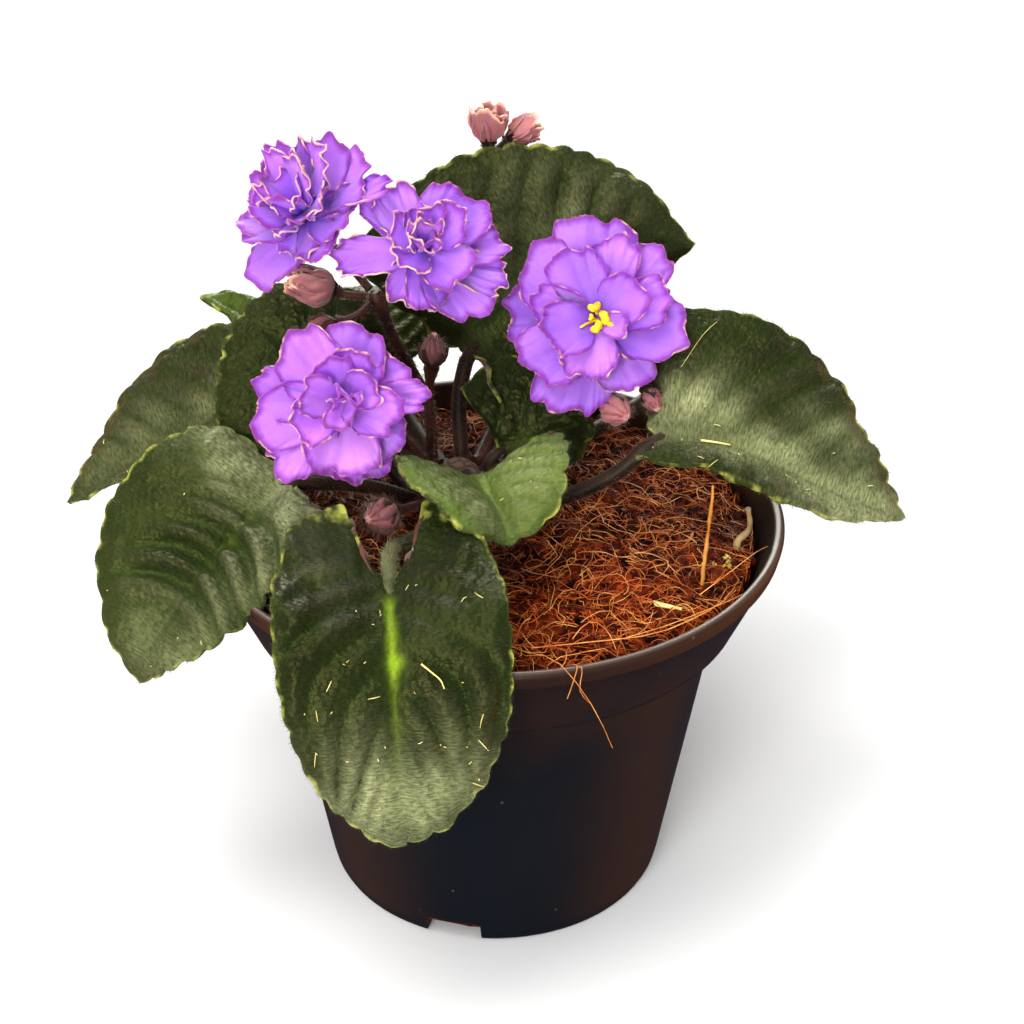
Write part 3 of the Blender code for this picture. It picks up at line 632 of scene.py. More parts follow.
def moulded_polypropylene(settings):
    """Injection-moulded polypropylene: a soft satin skin, blue-black, browner on the collar, with faint
    drag marks from stacking, a little dried dust and a painted highlight along the top of the lip."""
    mat, tree, shader, place = new_material("moulded_polypropylene")
    height = add_node(tree, "SeparateXYZ", {"Vector": place}).outputs["Z"]
    cloud = add_node(tree, "TexNoise", {"Vector": place, "Scale": 28.0, "Detail": 4.0})
    shift = add_node(tree, "Math", {0: cloud, 1: 0.030, 2: height}, operation="MULTIPLY_ADD")
    collar = add_node(tree, "MapRange", {"Value": shift}, span=(0.070, 0.092))
    body = add_node(tree, "Mix", {0: collar, 6: settings.plastic, 7: settings.collar})
    # a paler brown band along the top of the lip is painted on as a highlight
    lip = add_node(tree, "MapRange", {"Value": height}, span=((POT_H - 0.45) * MM, POT_H * MM))
    lip_highlight_share = add_node(tree, "Math", {0: lip, 1: cloud}, operation="MULTIPLY")
    with_lip_highlight = add_node(tree, "Mix", {0: lip_highlight_share, 6: body, 7: "#6A5548"})
    # a drag mark is under half a millimetre wide and runs round the pot, so it is drawn as a stretched noise
    squeeze = add_node(tree, "Mapping", {"Vector": place, "Scale": (1.0, 1.0, 14.0)})
    drag = add_node(tree, "TexNoise", {"Vector": squeeze, "Scale": 60.0, "Detail": 6.0, "Roughness": 0.7})
    marks = add_node(tree, "ValToRGB", {"Fac": drag}, stops=[(0.66, "#000000"), (0.80, "#FFFFFF")])
    grit = add_node(tree, "TexVoronoi", {"Vector": place, "Scale": 95.0})
    dust = add_node(tree, "ValToRGB", {"Fac": grit}, stops=[(0.0, "#FFFFFF"), (0.045, "#000000")])
    specks = add_node(tree, "Math", {0: marks, 1: 0.10, 2: dust}, operation="MULTIPLY_ADD")
    level = add_node(tree, "Math", {0: specks, 1: 0.35}, operation="MULTIPLY")
    final = add_node(tree, "Mix", {0: level, 6: with_lip_highlight, 7: "#8C7B68"})
    rough = add_node(tree, "MapRange", {"Value": cloud}, span=(0.3, 0.7, 0.30, 0.46))
    # the mould's grain is a tenth of a millimetre across, and is drawn coarser, at a millimetre, to show
    grain = add_node(tree, "TexNoise", {"Vector": place, "Scale": 900.0, "Detail": 2.0})
    bump = add_node(tree, "Bump", {"Height": grain, "Strength": 0.12, "Distance": 0.0002})
    feed(tree, shader, {"Base Color": final, "Roughness": rough, "Normal": bump, "IOR": 1.49})
    return mat


def coir_peat():
    """Milled coir pith under the fibres: crumbs of rust brown, with the hollows painted nearly black as
    shade.
    """
    mat, tree, shader, place = new_material("coir_peat")
    crumbs = add_node(tree, "TexVoronoi", {"Vector": place, "Scale": 620.0})
    patch = add_node(tree, "TexNoise", {"Vector": place, "Scale": 240.0, "Detail": 6.0})
    # the noise that sinks the bump also darkens the tint to nearly black there: painted shade in the hollows
    tint = add_node(tree, "ValToRGB", {"Fac": patch},
                    stops=[(0.34, "#140300"), (0.46, "#3A0D03"), (0.58, "#5E1D06"), (0.74, "#943E14")])
    shade = add_node(tree, "MapRange", {"Value": crumbs.outputs["Color"]}, span=(0.2, 0.8, 0.3, 1.5))
    cell = add_node(tree, "HueSaturation", {"Value": shade, "Color": tint})
    height = add_node(tree, "Math", {0: crumbs, 1: patch}, operation="ADD")
    bump = add_node(tree, "Bump", {"Height": height, "Strength": 0.9, "Distance": 0.0012})
    feed(tree, shader, {"Base Color": cell, "Normal": bump, "Roughness": 0.9, "Specular IOR Level": 0.08})
    return mat


def plant_fibre(name, dark, pale, roughness=0.55):
    """A dry plant fibre or straw: drawn out lengthwise, waxy, paler where it is scuffed."""
    mat, tree, shader, place = new_material(name)
    patch = add_node(tree, "TexNoise", {"Vector": place, "Scale": 210.0, "Detail": 3.0})
    tint = add_node(tree, "ValToRGB", {"Fac": patch}, stops=[(0.34, dark), (0.66, pale)])
    feed(tree, shader, {"Base Color": tint, "Roughness": roughness, "Specular IOR Level": 0.25})
    return mat


def leaf_skin(settings):
    """The upper skin of a leaf: deep green, quilted and waxy under a coat of short hairs, whose
    bulbous roots give a fine pebbling; yellow-green at the margin and along a young midrib; and a pale
    sheen of the hair coat painted on as a highlight, mostly on the bulges."""
    mat, tree, shader, place = new_material("hairy_leaf_skin")
    puff, young, lime, margin, painted_sheen = (add_node(tree, "Attribute", attribute_name=name).outputs["Fac"]
                                        for name in ("puff", "young", "lime", "margin", "painted_sheen"))
    patch = add_node(tree, "TexNoise", {"Vector": place, "Scale": 95.0, "Detail": 5.0})
    deep = add_node(tree, "ValToRGB", {"Fac": patch},
                    stops=[(0.36, "#060803"), (0.52, "#0C1105"), (0.68, "#161E09")])
    valley = add_node(tree, "Mix", {0: puff, 6: settings.green, 7: deep})
    fresh = add_node(tree, "Mix", {0: young, 6: valley, 7: settings.young_green})
    rib = add_node(tree, "Mix", {0: lime, 6: fresh, 7: "#7C9A1C"})
    # the pale margin is about a millimetre wide and breaks up into patches
    torn = add_node(tree, "Math", {0: patch, 1: 2.4, 2: margin}, operation="MULTIPLY_ADD")
    edge = add_node(tree, "MapRange", {"Value": torn}, span=(1.1, 2.0, 1.0, 0.0))
    sunny = add_node(tree, "TexNoise", {"Vector": place, "Scale": 260.0, "Detail": 2.0})
    hem = add_node(tree, "ValToRGB", {"Fac": sunny}, stops=[(0.49, "#2A3610"), (0.64, "#A9AA4C")])
    full = add_node(tree, "Mix", {0: edge, 6: rib, 7: hem})
    # hairs lie outwards: a noise drawn out across the leaf gives their streaks, a third of a millimetre apart
    flat = add_node(tree, "UVMap", uv_map="UVMap")
    comb = add_node(tree, "Mapping", {"Vector": flat, "Scale": (60.0, 260.0, 1.0)})
    streak = add_node(tree, "TexNoise", {"Vector": comb, "Scale": 1.0, "Detail": 3.0})
    # a pale sheen of the hair coat is painted on as a highlight, strongest on top of the bulges and in the
    # places each leaf lists
    crest_highlight = add_node(tree, "MapRange", {"Value": puff}, span=(0.2, 0.85, 0.42, 1.15))
    painted_sheen_level = add_node(tree, "Math", {0: painted_sheen, 1: crest_highlight, 2: 0.02}, operation="MULTIPLY_ADD")
    brushed = add_node(tree, "MapRange", {"Value": streak}, span=(0.36, 0.64, 0.4, 1.05))
    streaked_painted_sheen = add_node(tree, "Math", {0: brushed, 1: painted_sheen_level}, operation="MULTIPLY")
    with_painted_sheen = add_node(tree, "Mix", {0: streaked_painted_sheen, 6: full, 7: "#ABB07C"})
    # hair roots are a third of a millimetre apart, and are drawn four times as coarse to show
    pebble = add_node(tree, "TexVoronoi", {"Vector": place, "Scale": 760.0})
    height = add_node(tree, "Math", {0: streak, 1: 0.8, 2: pebble}, operation="MULTIPLY_ADD")
    bump = add_node(tree, "Bump", {"Height": height, "Strength": 0.6, "Distance": 0.0004})
    rough = add_node(tree, "MapRange", {"Value": patch}, span=(0.3, 0.7, 0.26, 0.40))
    feed(tree, shader, {"Base Color": with_painted_sheen, "Normal": bump, "Roughness": rough, "Sheen Weight": 0.03,
                        "Sheen Roughness": 0.35, "Sheen Tint": "#C9CBA0", "Specular Tint": "#D4D07C",
                        "Specular IOR Level": 0.32, "IOR": 1.5})
    return mat


def leaf_underside(settings):
    """The underside of a leaf: a dull red-brown felt over pale raised veins."""
    mat, tree, shader, place = new_material("leaf_underside_felt")
    puff = add_node(tree, "Attribute", attribute_name="puff").outputs["Fac"]
    patch = add_node(tree, "TexNoise", {"Vector": place, "Scale": 120.0, "Detail": 4.0})
    felt = add_node(tree, "Mix", {0: patch, 6: "#431710", 7: settings.underside})
    veins = add_node(tree, "MapRange", {"Value": puff}, span=(0.0, 0.25, 0.7, 0.0))
    full = add_node(tree, "Mix", {0: veins, 6: felt, 7: "#80663E"})
    # felt is finer than a tenth of a millimetre, so its fuzz is drawn coarser, at over half, to show
    fuzz = add_node(tree, "TexNoise", {"Vector": place, "Scale": 1400.0, "Detail": 3.0})
    bump = add_node(tree, "Bump", {"Height": fuzz, "Strength": 0.4, "Distance": 0.0004})
    feed(tree, shader, {"Base Color": full, "Normal": bump, "Roughness": 0.7, "Sheen Weight": 0.25})
    return mat


def plant_hair(name, colour):
    """A plant hair: a clear tapering cell that shows as a pale glossy line."""
    mat, tree, shader, place = new_material(name)
    patch = add_node(tree, "TexNoise", {"Vector": place, "Scale": 130.0, "Detail": 2.0})
    level = add_node(tree, "MapRange", {"Value": patch}, span=(0.35, 0.65, 0.45, 1.15))
    tint = add_node(tree, "HueSaturation", {"Color": colour, "Value": level})
    feed(tree, shader, {"Base Color": tint, "Roughness": 0.4})
    return mat


def stalk_skin(name, dark, pale):
    """The skin of a stalk: juicy and faintly ribbed lengthwise, dark with pigment and downy."""
    mat, tree, shader, place = new_material(name)
    patch = add_node(tree, "TexNoise", {"Vector": place, "Scale": 160.0, "Detail": 4.0})
    tint = add_node(tree, "ValToRGB", {"Fac": patch}, stops=[(0.36, dark), (0.68, pale)])
    down = add_node(tree, "TexNoise", {"Vector": place, "Scale": 1500.0, "Detail": 2.0})
    bump = add_node(tree, "Bump", {"Height": down, "Strength": 0.3, "Distance": 0.0003})
    feed(tree, shader, {"Base Color": tint, "Normal": bump, "Roughness": 0.5, "Sheen Weight": 0.04,
                        "Specular IOR Level": 0.25})
    return mat


def petal_tissue(settings):
    """Petal tissue: thin, lit through, with tiny cells that sparkle; deep in the throat, with painted shade
    there too, washed with pink where it blushes, and at the frilled edge a magenta band inside a peach hem."""
    mat, tree, shader, place = new_material("petal_tissue")
    along, margin, blush, frilled = (add_node(tree, "Attribute", attribute_name=name).outputs["Fac"]
                                     for name in ("along", "margin", "blush", "peach"))
    patch = add_node(tree, "TexNoise", {"Vector": place, "Scale": 150.0, "Detail": 4.0})
    body = add_node(tree, "Mix", {0: patch, 6: settings.petal, 7: settings.petal_pale})
    pinkness = add_node(tree, "Math", {0: blush, 1: patch}, operation="MULTIPLY", use_clamp=True)
    washed = add_node(tree, "Mix", {0: pinkness, 6: body, 7: settings.blush})
    # darker towards each petal's base: the throat's deeper colour, and painted shade where the petals crowd
    # together
    depth = add_node(tree, "MapRange", {"Value": along}, span=(0.02, 0.50, 1.0, 0.0))
    throat = add_node(tree, "Mix", {0: depth, 6: washed, 7: settings.throat})
    # the bands along the edge wander by half a millimetre
    wander = add_node(tree, "TexNoise", {"Vector": place, "Scale": 520.0, "Detail": 3.0})
    torn = add_node(tree, "Math", {0: wander, 1: 1.5, 2: margin}, operation="MULTIPLY_ADD")
    band = add_node(tree, "MapRange", {"Value": torn}, span=(1.3, 2.7, 1.0, 0.0))
    soft = add_node(tree, "Math", {0: band, 1: 0.85}, operation="MULTIPLY")
    edged = add_node(tree, "Mix", {0: soft, 6: throat, 7: settings.edge})
    patchy = add_node(tree, "TexNoise", {"Vector": place, "Scale": 330.0, "Detail": 2.0})
    ripe = add_node(tree, "Math", {0: patchy, 1: frilled}, operation="ADD")
    peach = add_node(tree, "MapRange", {"Value": ripe}, span=(0.53, 0.70))
    hem_colour = add_node(tree, "Mix", {0: peach, 6: "#8A3A86", 7: settings.hem})
    hem = add_node(tree, "MapRange", {"Value": torn}, span=(0.82, 1.12, 1.0, 0.0))
    full = add_node(tree, "Mix", {0: hem, 6: edged, 7: hem_colour})
    # a petal's cells are a twentieth of a millimetre across, so they are drawn coarser, at over half, to show
    cells = add_node(tree, "TexVoronoi", {"Vector": place, "Scale": 1600.0})
    bump = add_node(tree, "Bump", {"Height": cells, "Strength": 0.25, "Distance": 0.0002})
    feed(tree, shader, {"Base Color": full, "Normal": bump, "Roughness": 0.5, "Subsurface Weight": 0.55,
                        "Subsurface Radius": (1.0, 0.35, 1.0), "Subsurface Scale": 0.002,
                        "Sheen Weight": 0.3, "Sheen Tint": "#E6C8FF", "IOR": 1.4})
    return mat


def bud_tissue(settings):
    """Closed petals of a bud: dusty pink over brown, ribbed, with a cream frill showing at the tip."""
    mat, tree, shader, place = new_material("bud_tissue")
    margin, blush, rise = (add_node(tree, "Attribute", attribute_name=name).outputs["Fac"]
                           for name in ("margin", "blush", "rise"))
    patch = add_node(tree, "TexNoise", {"Vector": place, "Scale": 420.0, "Detail": 4.0})
    body = add_node(tree, "Mix", {0: blush, 6: "#5A2326", 7: settings.bud})
    mottle = add_node(tree, "Mix", {0: 0.45, 6: body, 7: patch.outputs["Color"]}, blend_type="MULTIPLY")
    top = add_node(tree, "MapRange", {"Value": rise}, span=(0.80, 0.95))
    frill = add_node(tree, "MapRange", {"Value": margin}, span=(0.25, 0.75, 1.0, 0.0))
    tip = add_node(tree, "Math", {0: frill, 1: top}, operation="MULTIPLY")
    full = add_node(tree, "Mix", {0: tip, 6: mottle, 7: settings.hem})
    bump = add_node(tree, "Bump", {"Height": patch, "Strength": 0.4, "Distance": 0.0005})
    feed(tree, shader, {"Base Color": full, "Normal": bump, "Roughness": 0.55, "Subsurface Weight": 0.15,
                        "Subsurface Scale": 0.001, "Sheen Weight": 0.3})
    return mat


def pollen_sac():
    """A pollen sac: plump, bright yellow and powdery, with a matt skin."""
    mat, tree, shader, place = new_material("pollen_sac")
    patch = add_node(tree, "TexNoise", {"Vector": place, "Scale": 700.0, "Detail": 3.0})
    tint = add_node(tree, "ValToRGB", {"Fac": patch}, stops=[(0.3, "#D89A06"), (0.55, "#FFE014")])
    bump = add_node(tree, "Bump", {"Height": patch, "Strength": 0.3, "Distance": 0.0003})
    feed(tree, shader, {"Base Color": tint, "Normal": bump, "Roughness": 0.6})
    return mat


def stem_bark():
    """The corky skin of the old crown: brown, cracked round its leaf scars."""
    mat, tree, shader, place = new_material("corky_stem_bark")
    cracks = add_node(tree, "TexVoronoi", {"Vector": place, "Scale": 420.0}, feature="DISTANCE_TO_EDGE")
    tint = add_node(tree, "ValToRGB", {"Fac": cracks}, stops=[(0.0, "#1E100A"), (0.25, "#5E4028")])
    bump = add_node(tree, "Bump", {"Height": cracks, "Strength": 0.7, "Distance": 0.0006})
    feed(tree, shader, {"Base Color": tint, "Normal": bump, "Roughness": 0.85})
    return mat


def studio_paper(settings):
    """A roll of matt background paper, with a faint tooth."""
    mat, tree, shader, place = new_material("matt_background_paper")
    tooth = add_node(tree, "TexNoise", {"Vector": place, "Scale": 900.0})
    bump = add_node(tree, "Bump", {"Height": tooth, "Strength": 0.03, "Distance": 0.0002})
    feed(tree, shader, {"Base Color": settings.paper, "Normal": bump, "Roughness": 0.9})
    return mat


# Finishes that several pieces share: how each is made, and its darker and paler colours
SHARED = {
    "leaf_stalk_skin": (stalk_skin, "#1A0B05", "#2E1E0E"),
    "pale_stalk_skin": (stalk_skin, "#33381A", "#6C7046"),
    "flower_stalk_skin": (stalk_skin, "#240D08", "#4C2418"),
    "leaf_hair": (plant_hair, "#464C2A"),
    "stalk_hair": (plant_hair, "#6E5244"),
    "pale_stalk_hair": (plant_hair, "#90926A"),
    "golden_straw": (plant_fibre, "#AC6416", "#E0A24C"),
    "pale_chaff": (plant_fibre, "#C8B24A", "#F0E49A"),
    "dry_root_bark": (plant_fibre, "#8A6A3A", "#CDB078", 0.7),
    "style_tissue": (plant_fibre, "#D8C8E8", "#F6F0FA"),
}


def shared(name):
    """One of the shared finishes, made the first time it is asked for."""
    make, *colours = SHARED[name]
    return bpy.data.materials.get(name) or make(name, *colours)


# -------- settings

def colour_setting(name, description, hex_colour):
    return bpy.props.FloatVectorProperty(
        name=name, description=description, subtype="COLOR", size=3, min=0, max=1, default=linear(hex_colour))


def length_setting(name, description, default, low, high):
    return bpy.props.FloatProperty(
        name=name, description=description, unit="LENGTH", precision=5, default=default, min=low, max=high)


def power_setting(name, description, default):
    return bpy.props.FloatProperty(name=name, description=description, unit="POWER", default=default, min=0)


class POTSETTINGS(bpy.types.PropertyGroup):
    sides: bpy.props.IntProperty(
        name="Sides", description="Faces round the pot's wall", default=160, min=48, max=256)
    plastic: colour_setting("Plastic", "Colour of the pot's wall", "#0E1117")
    collar: colour_setting("Collar", "Colour of the collar and rim", "#29160E")


class COIRSETTINGS(bpy.types.PropertyGroup):
    fibres: bpy.props.IntProperty(
        name="Fibres", description="Loose fibres over the coir", default=6400, min=0, max=9000)
    fibre_width: length_setting("Fibre Width", "Width of an average fibre", 0.00024, 0.0001, 0.002)


class LEAFSETTINGS(bpy.types.PropertyGroup):
    thickness: length_setting("Thickness", "Thickness of a leaf's blade", 0.0008, 0.0003, 0.003)
    scallop: length_setting("Scallop Length", "Length of one scallop of the margin", 0.0058, 0.002, 0.02)
    hairs: bpy.props.IntProperty(
        name="Hairs", description="Hairs on a large leaf's upper side", default=6000, min=0, max=9000)
    hair_length: length_setting("Hair Length", "Length of a leaf's hairs", 0.0012, 0.0003, 0.005)
    green: colour_setting("Green", "Green of the hollows over the veins", "#112205")
    young_green: colour_setting("Young Green", "Green of the youngest leaves", "#4A5F1E")
    underside: colour_setting("Underside", "Colour of the leaf's underside", "#6E3828")


class FLOWERSETTINGS(bpy.types.PropertyGroup):
    thickness: length_setting("Petal Thickness", "Thickness of a petal", 0.00036, 0.0001, 0.002)
    frill: bpy.props.FloatProperty(
        name="Frill", description="Height of the edge's frill, as a share of the plan's", subtype="FACTOR",
        default=1.35, min=0, max=2)
    petal: colour_setting("Petal", "Main colour of the petals", "#9058DC")
    petal_pale: colour_setting("Pale Petal", "Paler colour in the petals' mottling", "#B274EC")
    blush: colour_setting("Blush", "Pink wash of some petals", "#E28CF6")
    throat: colour_setting("Throat", "Colour of the petals' base", "#5626B0")
    edge: colour_setting("Edge Band", "Dark band inside the frilled edge", "#7A1C92")
    hem: colour_setting("Hem", "Peach hem of the petals and buds", "#F0B49C")
    bud: colour_setting("Bud", "Pink of the buds", "#C8767A")


class STAGESETTINGS(bpy.types.PropertyGroup):
    paper: colour_setting("Paper", "Colour of the studio floor", "#F6F6F6")
    sun: bpy.props.FloatProperty(
        name="Overhead Light", description="Strength of the broad overhead light", default=2.4, min=0)
    key: power_setting("Front Light", "Power of the softbox in front", 10.5)
    upper: power_setting("Upper Light", "Power of the small softbox above", 3.2)
    fill: power_setting("Side Lights", "Power of the two warm softboxes behind", 1.0)
    rear: power_setting("Rear Light", "Power of the light behind that gives the leaves their shine", 20.0)
    room: bpy.props.FloatProperty(
        name="Room Light", description="Strength of the light from all round", default=0.30, min=0, max=3)


# -------- the pot

LIP_ROLL_R = 1.25
BLOCK_DEPTH = 12.0
CUTTER_ROUND = 1.2


def pot_outline():
    """The pot's closed outline, radius and height, from the middle of its foot round to its floor."""
    shoulder = POT_H - COLLAR_H
    lip_turns = [math.radians(a) for a in range(-10, 181, 19)]
    lip = [(RIM_R - LIP_ROLL_R + LIP_ROLL_R * math.cos(a), POT_H - LIP_ROLL_R + LIP_ROLL_R * math.sin(a))
           for a in lip_turns]
    return [
        (0.01, 0.5), (11.6, 0.5), (12.4, 0.8), (30.8, 0.8), (31.6, 0.1), (32.2, 0.0), (BASE_R - 1.6, 0.0),
        (BASE_R - 0.5, 0.4), (BASE_R + 0.05, 1.5), (BASE_R + 0.6, 4.0), (WALL_TOP_R - 0.2, shoulder - 1.4),
        (WALL_TOP_R + 0.2, shoulder - 0.5), (WALL_TOP_R + 1.2, shoulder), (COLLAR_R - 0.8, shoulder + 0.1),
        (COLLAR_R - 0.1, shoulder + 0.6), (COLLAR_R + 0.5, shoulder + 2.0), (RIM_R - 1.7, POT_H - 4.6),
        (RIM_R - 0.5, POT_H - 3.6), *lip, (RIM_R - LIP, POT_H - 2.4),
        (inner_radius(shoulder + WALL), shoulder + WALL), (inner_radius(shoulder - 0.1), shoulder - 1.0),
        (inner_radius(FLOOR_T) - 0.4, FLOOR_T + 1.6), (inner_radius(FLOOR_T) - 2.0, FLOOR_T), (0.01, FLOOR_T),
    ]


class OBJECT_OT_violet_pot(bpy.types.Operator):
    """Turn the nursery pot, with its rolled rim, foot notches and drain holes"""

    bl_idname = "object.violet_pot"
    bl_label = "Nursery Pot"

    def execute(self, context):
        settings = context.scene.violet_pot
        outline = pot_outline()
        mesh = bpy.data.meshes.new("pot_wall")
        edges = [(k, k + 1) for k in range(len(outline) - 1)]
        mesh.from_pydata([(r * MM, 0, z * MM) for r, z in outline], edges, [])
        pot = linked("pot_wall", mesh)
        pick(pot)
        bpy.ops.object.mode_set(mode="EDIT")
        bpy.ops.mesh.select_all(action="SELECT")
        bpy.ops.mesh.spin(steps=settings.sides, angle=math.tau, center=(0, 0, 0), axis=(0, 0, 1))
        bpy.ops.mesh.select_all(action="SELECT")
        bpy.ops.mesh.remove_doubles(threshold=0.00003)
        bpy.ops.mesh.select_all(action="SELECT")
        bpy.ops.mesh.normals_make_consistent(inside=False)
        bpy.ops.object.mode_set(mode="OBJECT")
        for cutter in (*self.notch_cutters(), *self.hole_cutters()):
            modify(pot, "BOOLEAN", operation="DIFFERENCE", solver="EXACT", object=cutter)
            bpy.data.objects.remove(cutter)
        pot.data.materials.clear()
        pot.data.materials.append(moulded_polypropylene(settings))
        smooth(pot, 32)
        finish_piece(pot, "pot_plastic", "nursery_pot")
        return {"FINISHED"}

    def notch_cutters(self):
        """A block with rounded corners for each notch in the foot."""
        cutters = []
        for azimuth in NOTCH_AZIMUTHS:
            turn = math.radians(azimuth)
            cutter = added(bpy.ops.mesh.primitive_cube_add, size=1)
            cutter.scale = (BLOCK_DEPTH * MM, NOTCH_W * MM, 2 * NOTCH_H * MM)
            cutter.rotation_euler = (0, 0, turn)
            reach = (BASE_R - 1) * MM
            cutter.location = (reach * math.cos(turn), reach * math.sin(turn), 0)
            bpy.ops.object.transform_apply(location=True, rotation=True, scale=True)
            modify(cutter, "BEVEL", width=CUTTER_ROUND * MM, segments=4)
            cutters.append(cutter)
        return cutters

    def hole_cutters(self):
        cutters = []
        for k in range(HOLE_COUNT):
            turn = math.tau * (k + 0.5) / HOLE_COUNT
            cutter = added(bpy.ops.mesh.primitive_cylinder_add, vertices=32, radius=HOLE_R * MM,
                           depth=14 * MM)
            cutter.location = (HOLE_RING_R * MM * math.cos(turn), HOLE_RING_R * MM * math.sin(turn), 0)
            bpy.ops.object.transform_apply(location=True)
            cutters.append(cutter)
        return cutters


# -------- the coir

# Fibres: colours, share of them all, lengths, height of their arches, width beside the average, and seed
FIBRES = {
    "golden": (("#B85A14", "#F4B260"), 0.12, (9, 32), 3.2, 0.95, 11),
    "rust": (("#6C1C03", "#DC6C2A"), 0.52, (5, 22), 1.8, 0.95, 12),
    "dark": (("#360D02", "#93360A"), 0.36, (4, 14), 1.0, 1.2, 13),
}

# The few long fibres that lie over the front of the rim or stand out on the coir, and their widths
LONG_FIBRES = [
    ([(-2, -44, 89), (6, -54, 91), (13, -62, 94), (20, -69, 88), (24, -72, 80)], 1.2),
    ([(15, -55, 88), (17, -62, 93), (16.5, -65.5, 92.7), (15, -67, 88.5)], 1.6),
    ([(16, -58, 89), (18, -63.5, 93.4), (17.5, -66.6, 90), (19.5, -67.2, 87.5)], 1.3),
    ([(28, -46, 89), (36, -44, 90.5), (46, -38, 91), (53, -32, 90.5), (56, -27, 89.5)], 1.3),
    ([(44, -30, 89), (52, -24, 92), (57, -19, 93), (60, -15, 92)], 1.1),
    ([(8, -50, 89), (20, -50, 90.5), (34, -46, 90), (46, -37, 90), (52, -28, 89)], 1.6),
    ([(46, 30, 89), (53, 36, 92), (57, 41, 93), (60, 44, 89)], 1.2),
]


class OBJECT_OT_violet_coir(bpy.types.Operator):
    """Lay the crumbly top of the coir and its loose fibres, and finish the coir's body"""

    bl_idname = "object.violet_coir"
    bl_label = "Coir"
    FIBRE_POINTS = 10

    def execute(self, context):
        settings = context.scene.violet_coir
        peat = coir_peat()
        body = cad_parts["coir_mix"]
        body.data.materials.clear()
        body.data.materials.append(peat)
        finish_piece(self.crumbly_top(peat), "coir")
        for name, (colours, share, lengths, arch, scale, seed) in FIBRES.items():
            lines, radii = self.arcs(int(settings.fibres * share), lengths, arch, seed)
            if name == "golden":
                long_lines = [smooth_path(points, self.FIBRE_POINTS) for points, _ in LONG_FIBRES]
                long_radii = [width * np.linspace(1, 0.55, self.FIBRE_POINTS) for _, width in LONG_FIBRES]
                lines, radii = np.concatenate([lines, long_lines]), np.concatenate([radii, long_radii])
            mat = plant_fibre(f"{name}_coir_fibre", *colours, 0.45)
            radii = radii * (settings.fibre_width / MM) / 2 * scale
            finish_piece(fine_rods(f"{name}_fibres", lines, radii, mat), "coir")
        return {"FINISHED"}

    def crumbly_top(self, peat):
        """A rough sheet over the coir: crumbs a millimetre or two high, with pits between the clumps."""
        top, turn, share = lay_grid(340, 130)
        rename(top, "coir_top")
        edge = inner_radius(COIR_EDGE_Z + 1) - 0.5
        radius = edge * share
        x = radius * np.cos(turn * math.tau)
        y = radius * np.sin(turn * math.tau)
        flat = np.stack([x, y], axis=1)
        crumbs = 0.6 * waves(flat, 1.6, 3, 13) + 0.5 * waves(flat, 0.9, 5, 13)
        pits = 1.5 * smooth_step(0.1, 0.8, waves(flat, 3.6, 4, 11))
        # the rim of the sheet turns down against the pot
        z = coir_height(x, y) + 0.2 + np.maximum(1.7 + crumbs - pits, 0) - 1.6 * smooth_step(0.96, 1.0, share)
        set_points(top, np.stack([x, y, z], axis=1))
        merge_points(top)
        top.data.materials.append(peat)
        thicken(top, 1.0)
        smooth(top, 80)
        return top

    def arcs(self, count, lengths, arch, seed):
        """Lines that curl over the coir, with both ends buried, and their relative radii."""
        rng = np.random.default_rng(seed)
        edge = inner_radius(COIR_EDGE_Z + 1) - 0.8
        t = np.linspace(0, 1, self.FIBRE_POINTS)
        length = lengths[0] + (lengths[1] - lengths[0]) * rng.random((count, 1)) ** 2
        run = length * t
        bend = rng.normal(0, 0.15, (count, 1))
        heading = (rng.uniform(0, math.tau, (count, 1)) + bend * run
                   + 0.5 * np.sin(run * rng.uniform(0.3, 0.9, (count, 1)) + rng.uniform(0, 6, (count, 1))))
        step = length / (self.FIBRE_POINTS - 1)
        x = np.cumsum(np.cos(heading) * step, axis=1)
        y = np.cumsum(np.sin(heading) * step, axis=1)
        away = edge * np.sqrt(rng.random((count, 1)))
        turn = rng.uniform(0, math.tau, (count, 1))
        x = x - x.mean(axis=1, keepdims=True) + away * np.cos(turn)
        y = y - y.mean(axis=1, keepdims=True) + away * np.sin(turn)
        shrink = np.minimum(1, edge / np.hypot(x, y))
        x, y = x * shrink, y * shrink
        rise = 1.5 + rng.uniform(0, 1.4, (count, 1)) + arch * rng.random((count, 1)) * np.sin(math.pi * t)
        rise = rise + 0.3 * np.sin(run * 0.9 + rng.uniform(0, 6, (count, 1)))
        z = coir_height(x, y) + rise
        return np.stack([x, y, z], axis=-1), rng.uniform(0.55, 1.3, (count, 1)) * (1 - 0.45 * t)


# -------- the crown

class OBJECT_OT_violet_crown(bpy.types.Operator):
    """Model the short woody crown that every stalk grows from"""

    bl_idname = "object.violet_crown"
    bl_label = "Crown"

    def execute(self, context):
        crown, turn, share = lay_grid(48, 26)
        rename(crown, "corky_crown")
        low = float(coir_height(*CROWN_AT)) + 0.2
        z = lerp(low, CROWN_TOP_Z, share)
        radius = np.array([crown_radius(h) for h in z]) - 0.1
        radius = radius * (1 - smooth_step(0.9, 1.0, share) * 0.45)
        scars = 0.35 * np.sin(z * 2.6 + 2 * np.sin(turn * math.tau)) - 0.25
        radius = radius + scars * smooth_step(0.02, 0.1, share)
        radius = np.where((share > 0.999) | (share < 0.001), 0.0, radius)
        x = CROWN_AT[0] + radius * np.cos(turn * math.tau)
        y = CROWN_AT[1] + radius * np.sin(turn * math.tau)
        set_points(crown, np.stack([x, y, z], axis=1))
        merge_points(crown)
        crown.data.materials.append(stem_bark())
        smooth(crown)
        finish_piece(crown, "crown_bark", "crown")
        return {"FINISHED"}


# -------- leaves

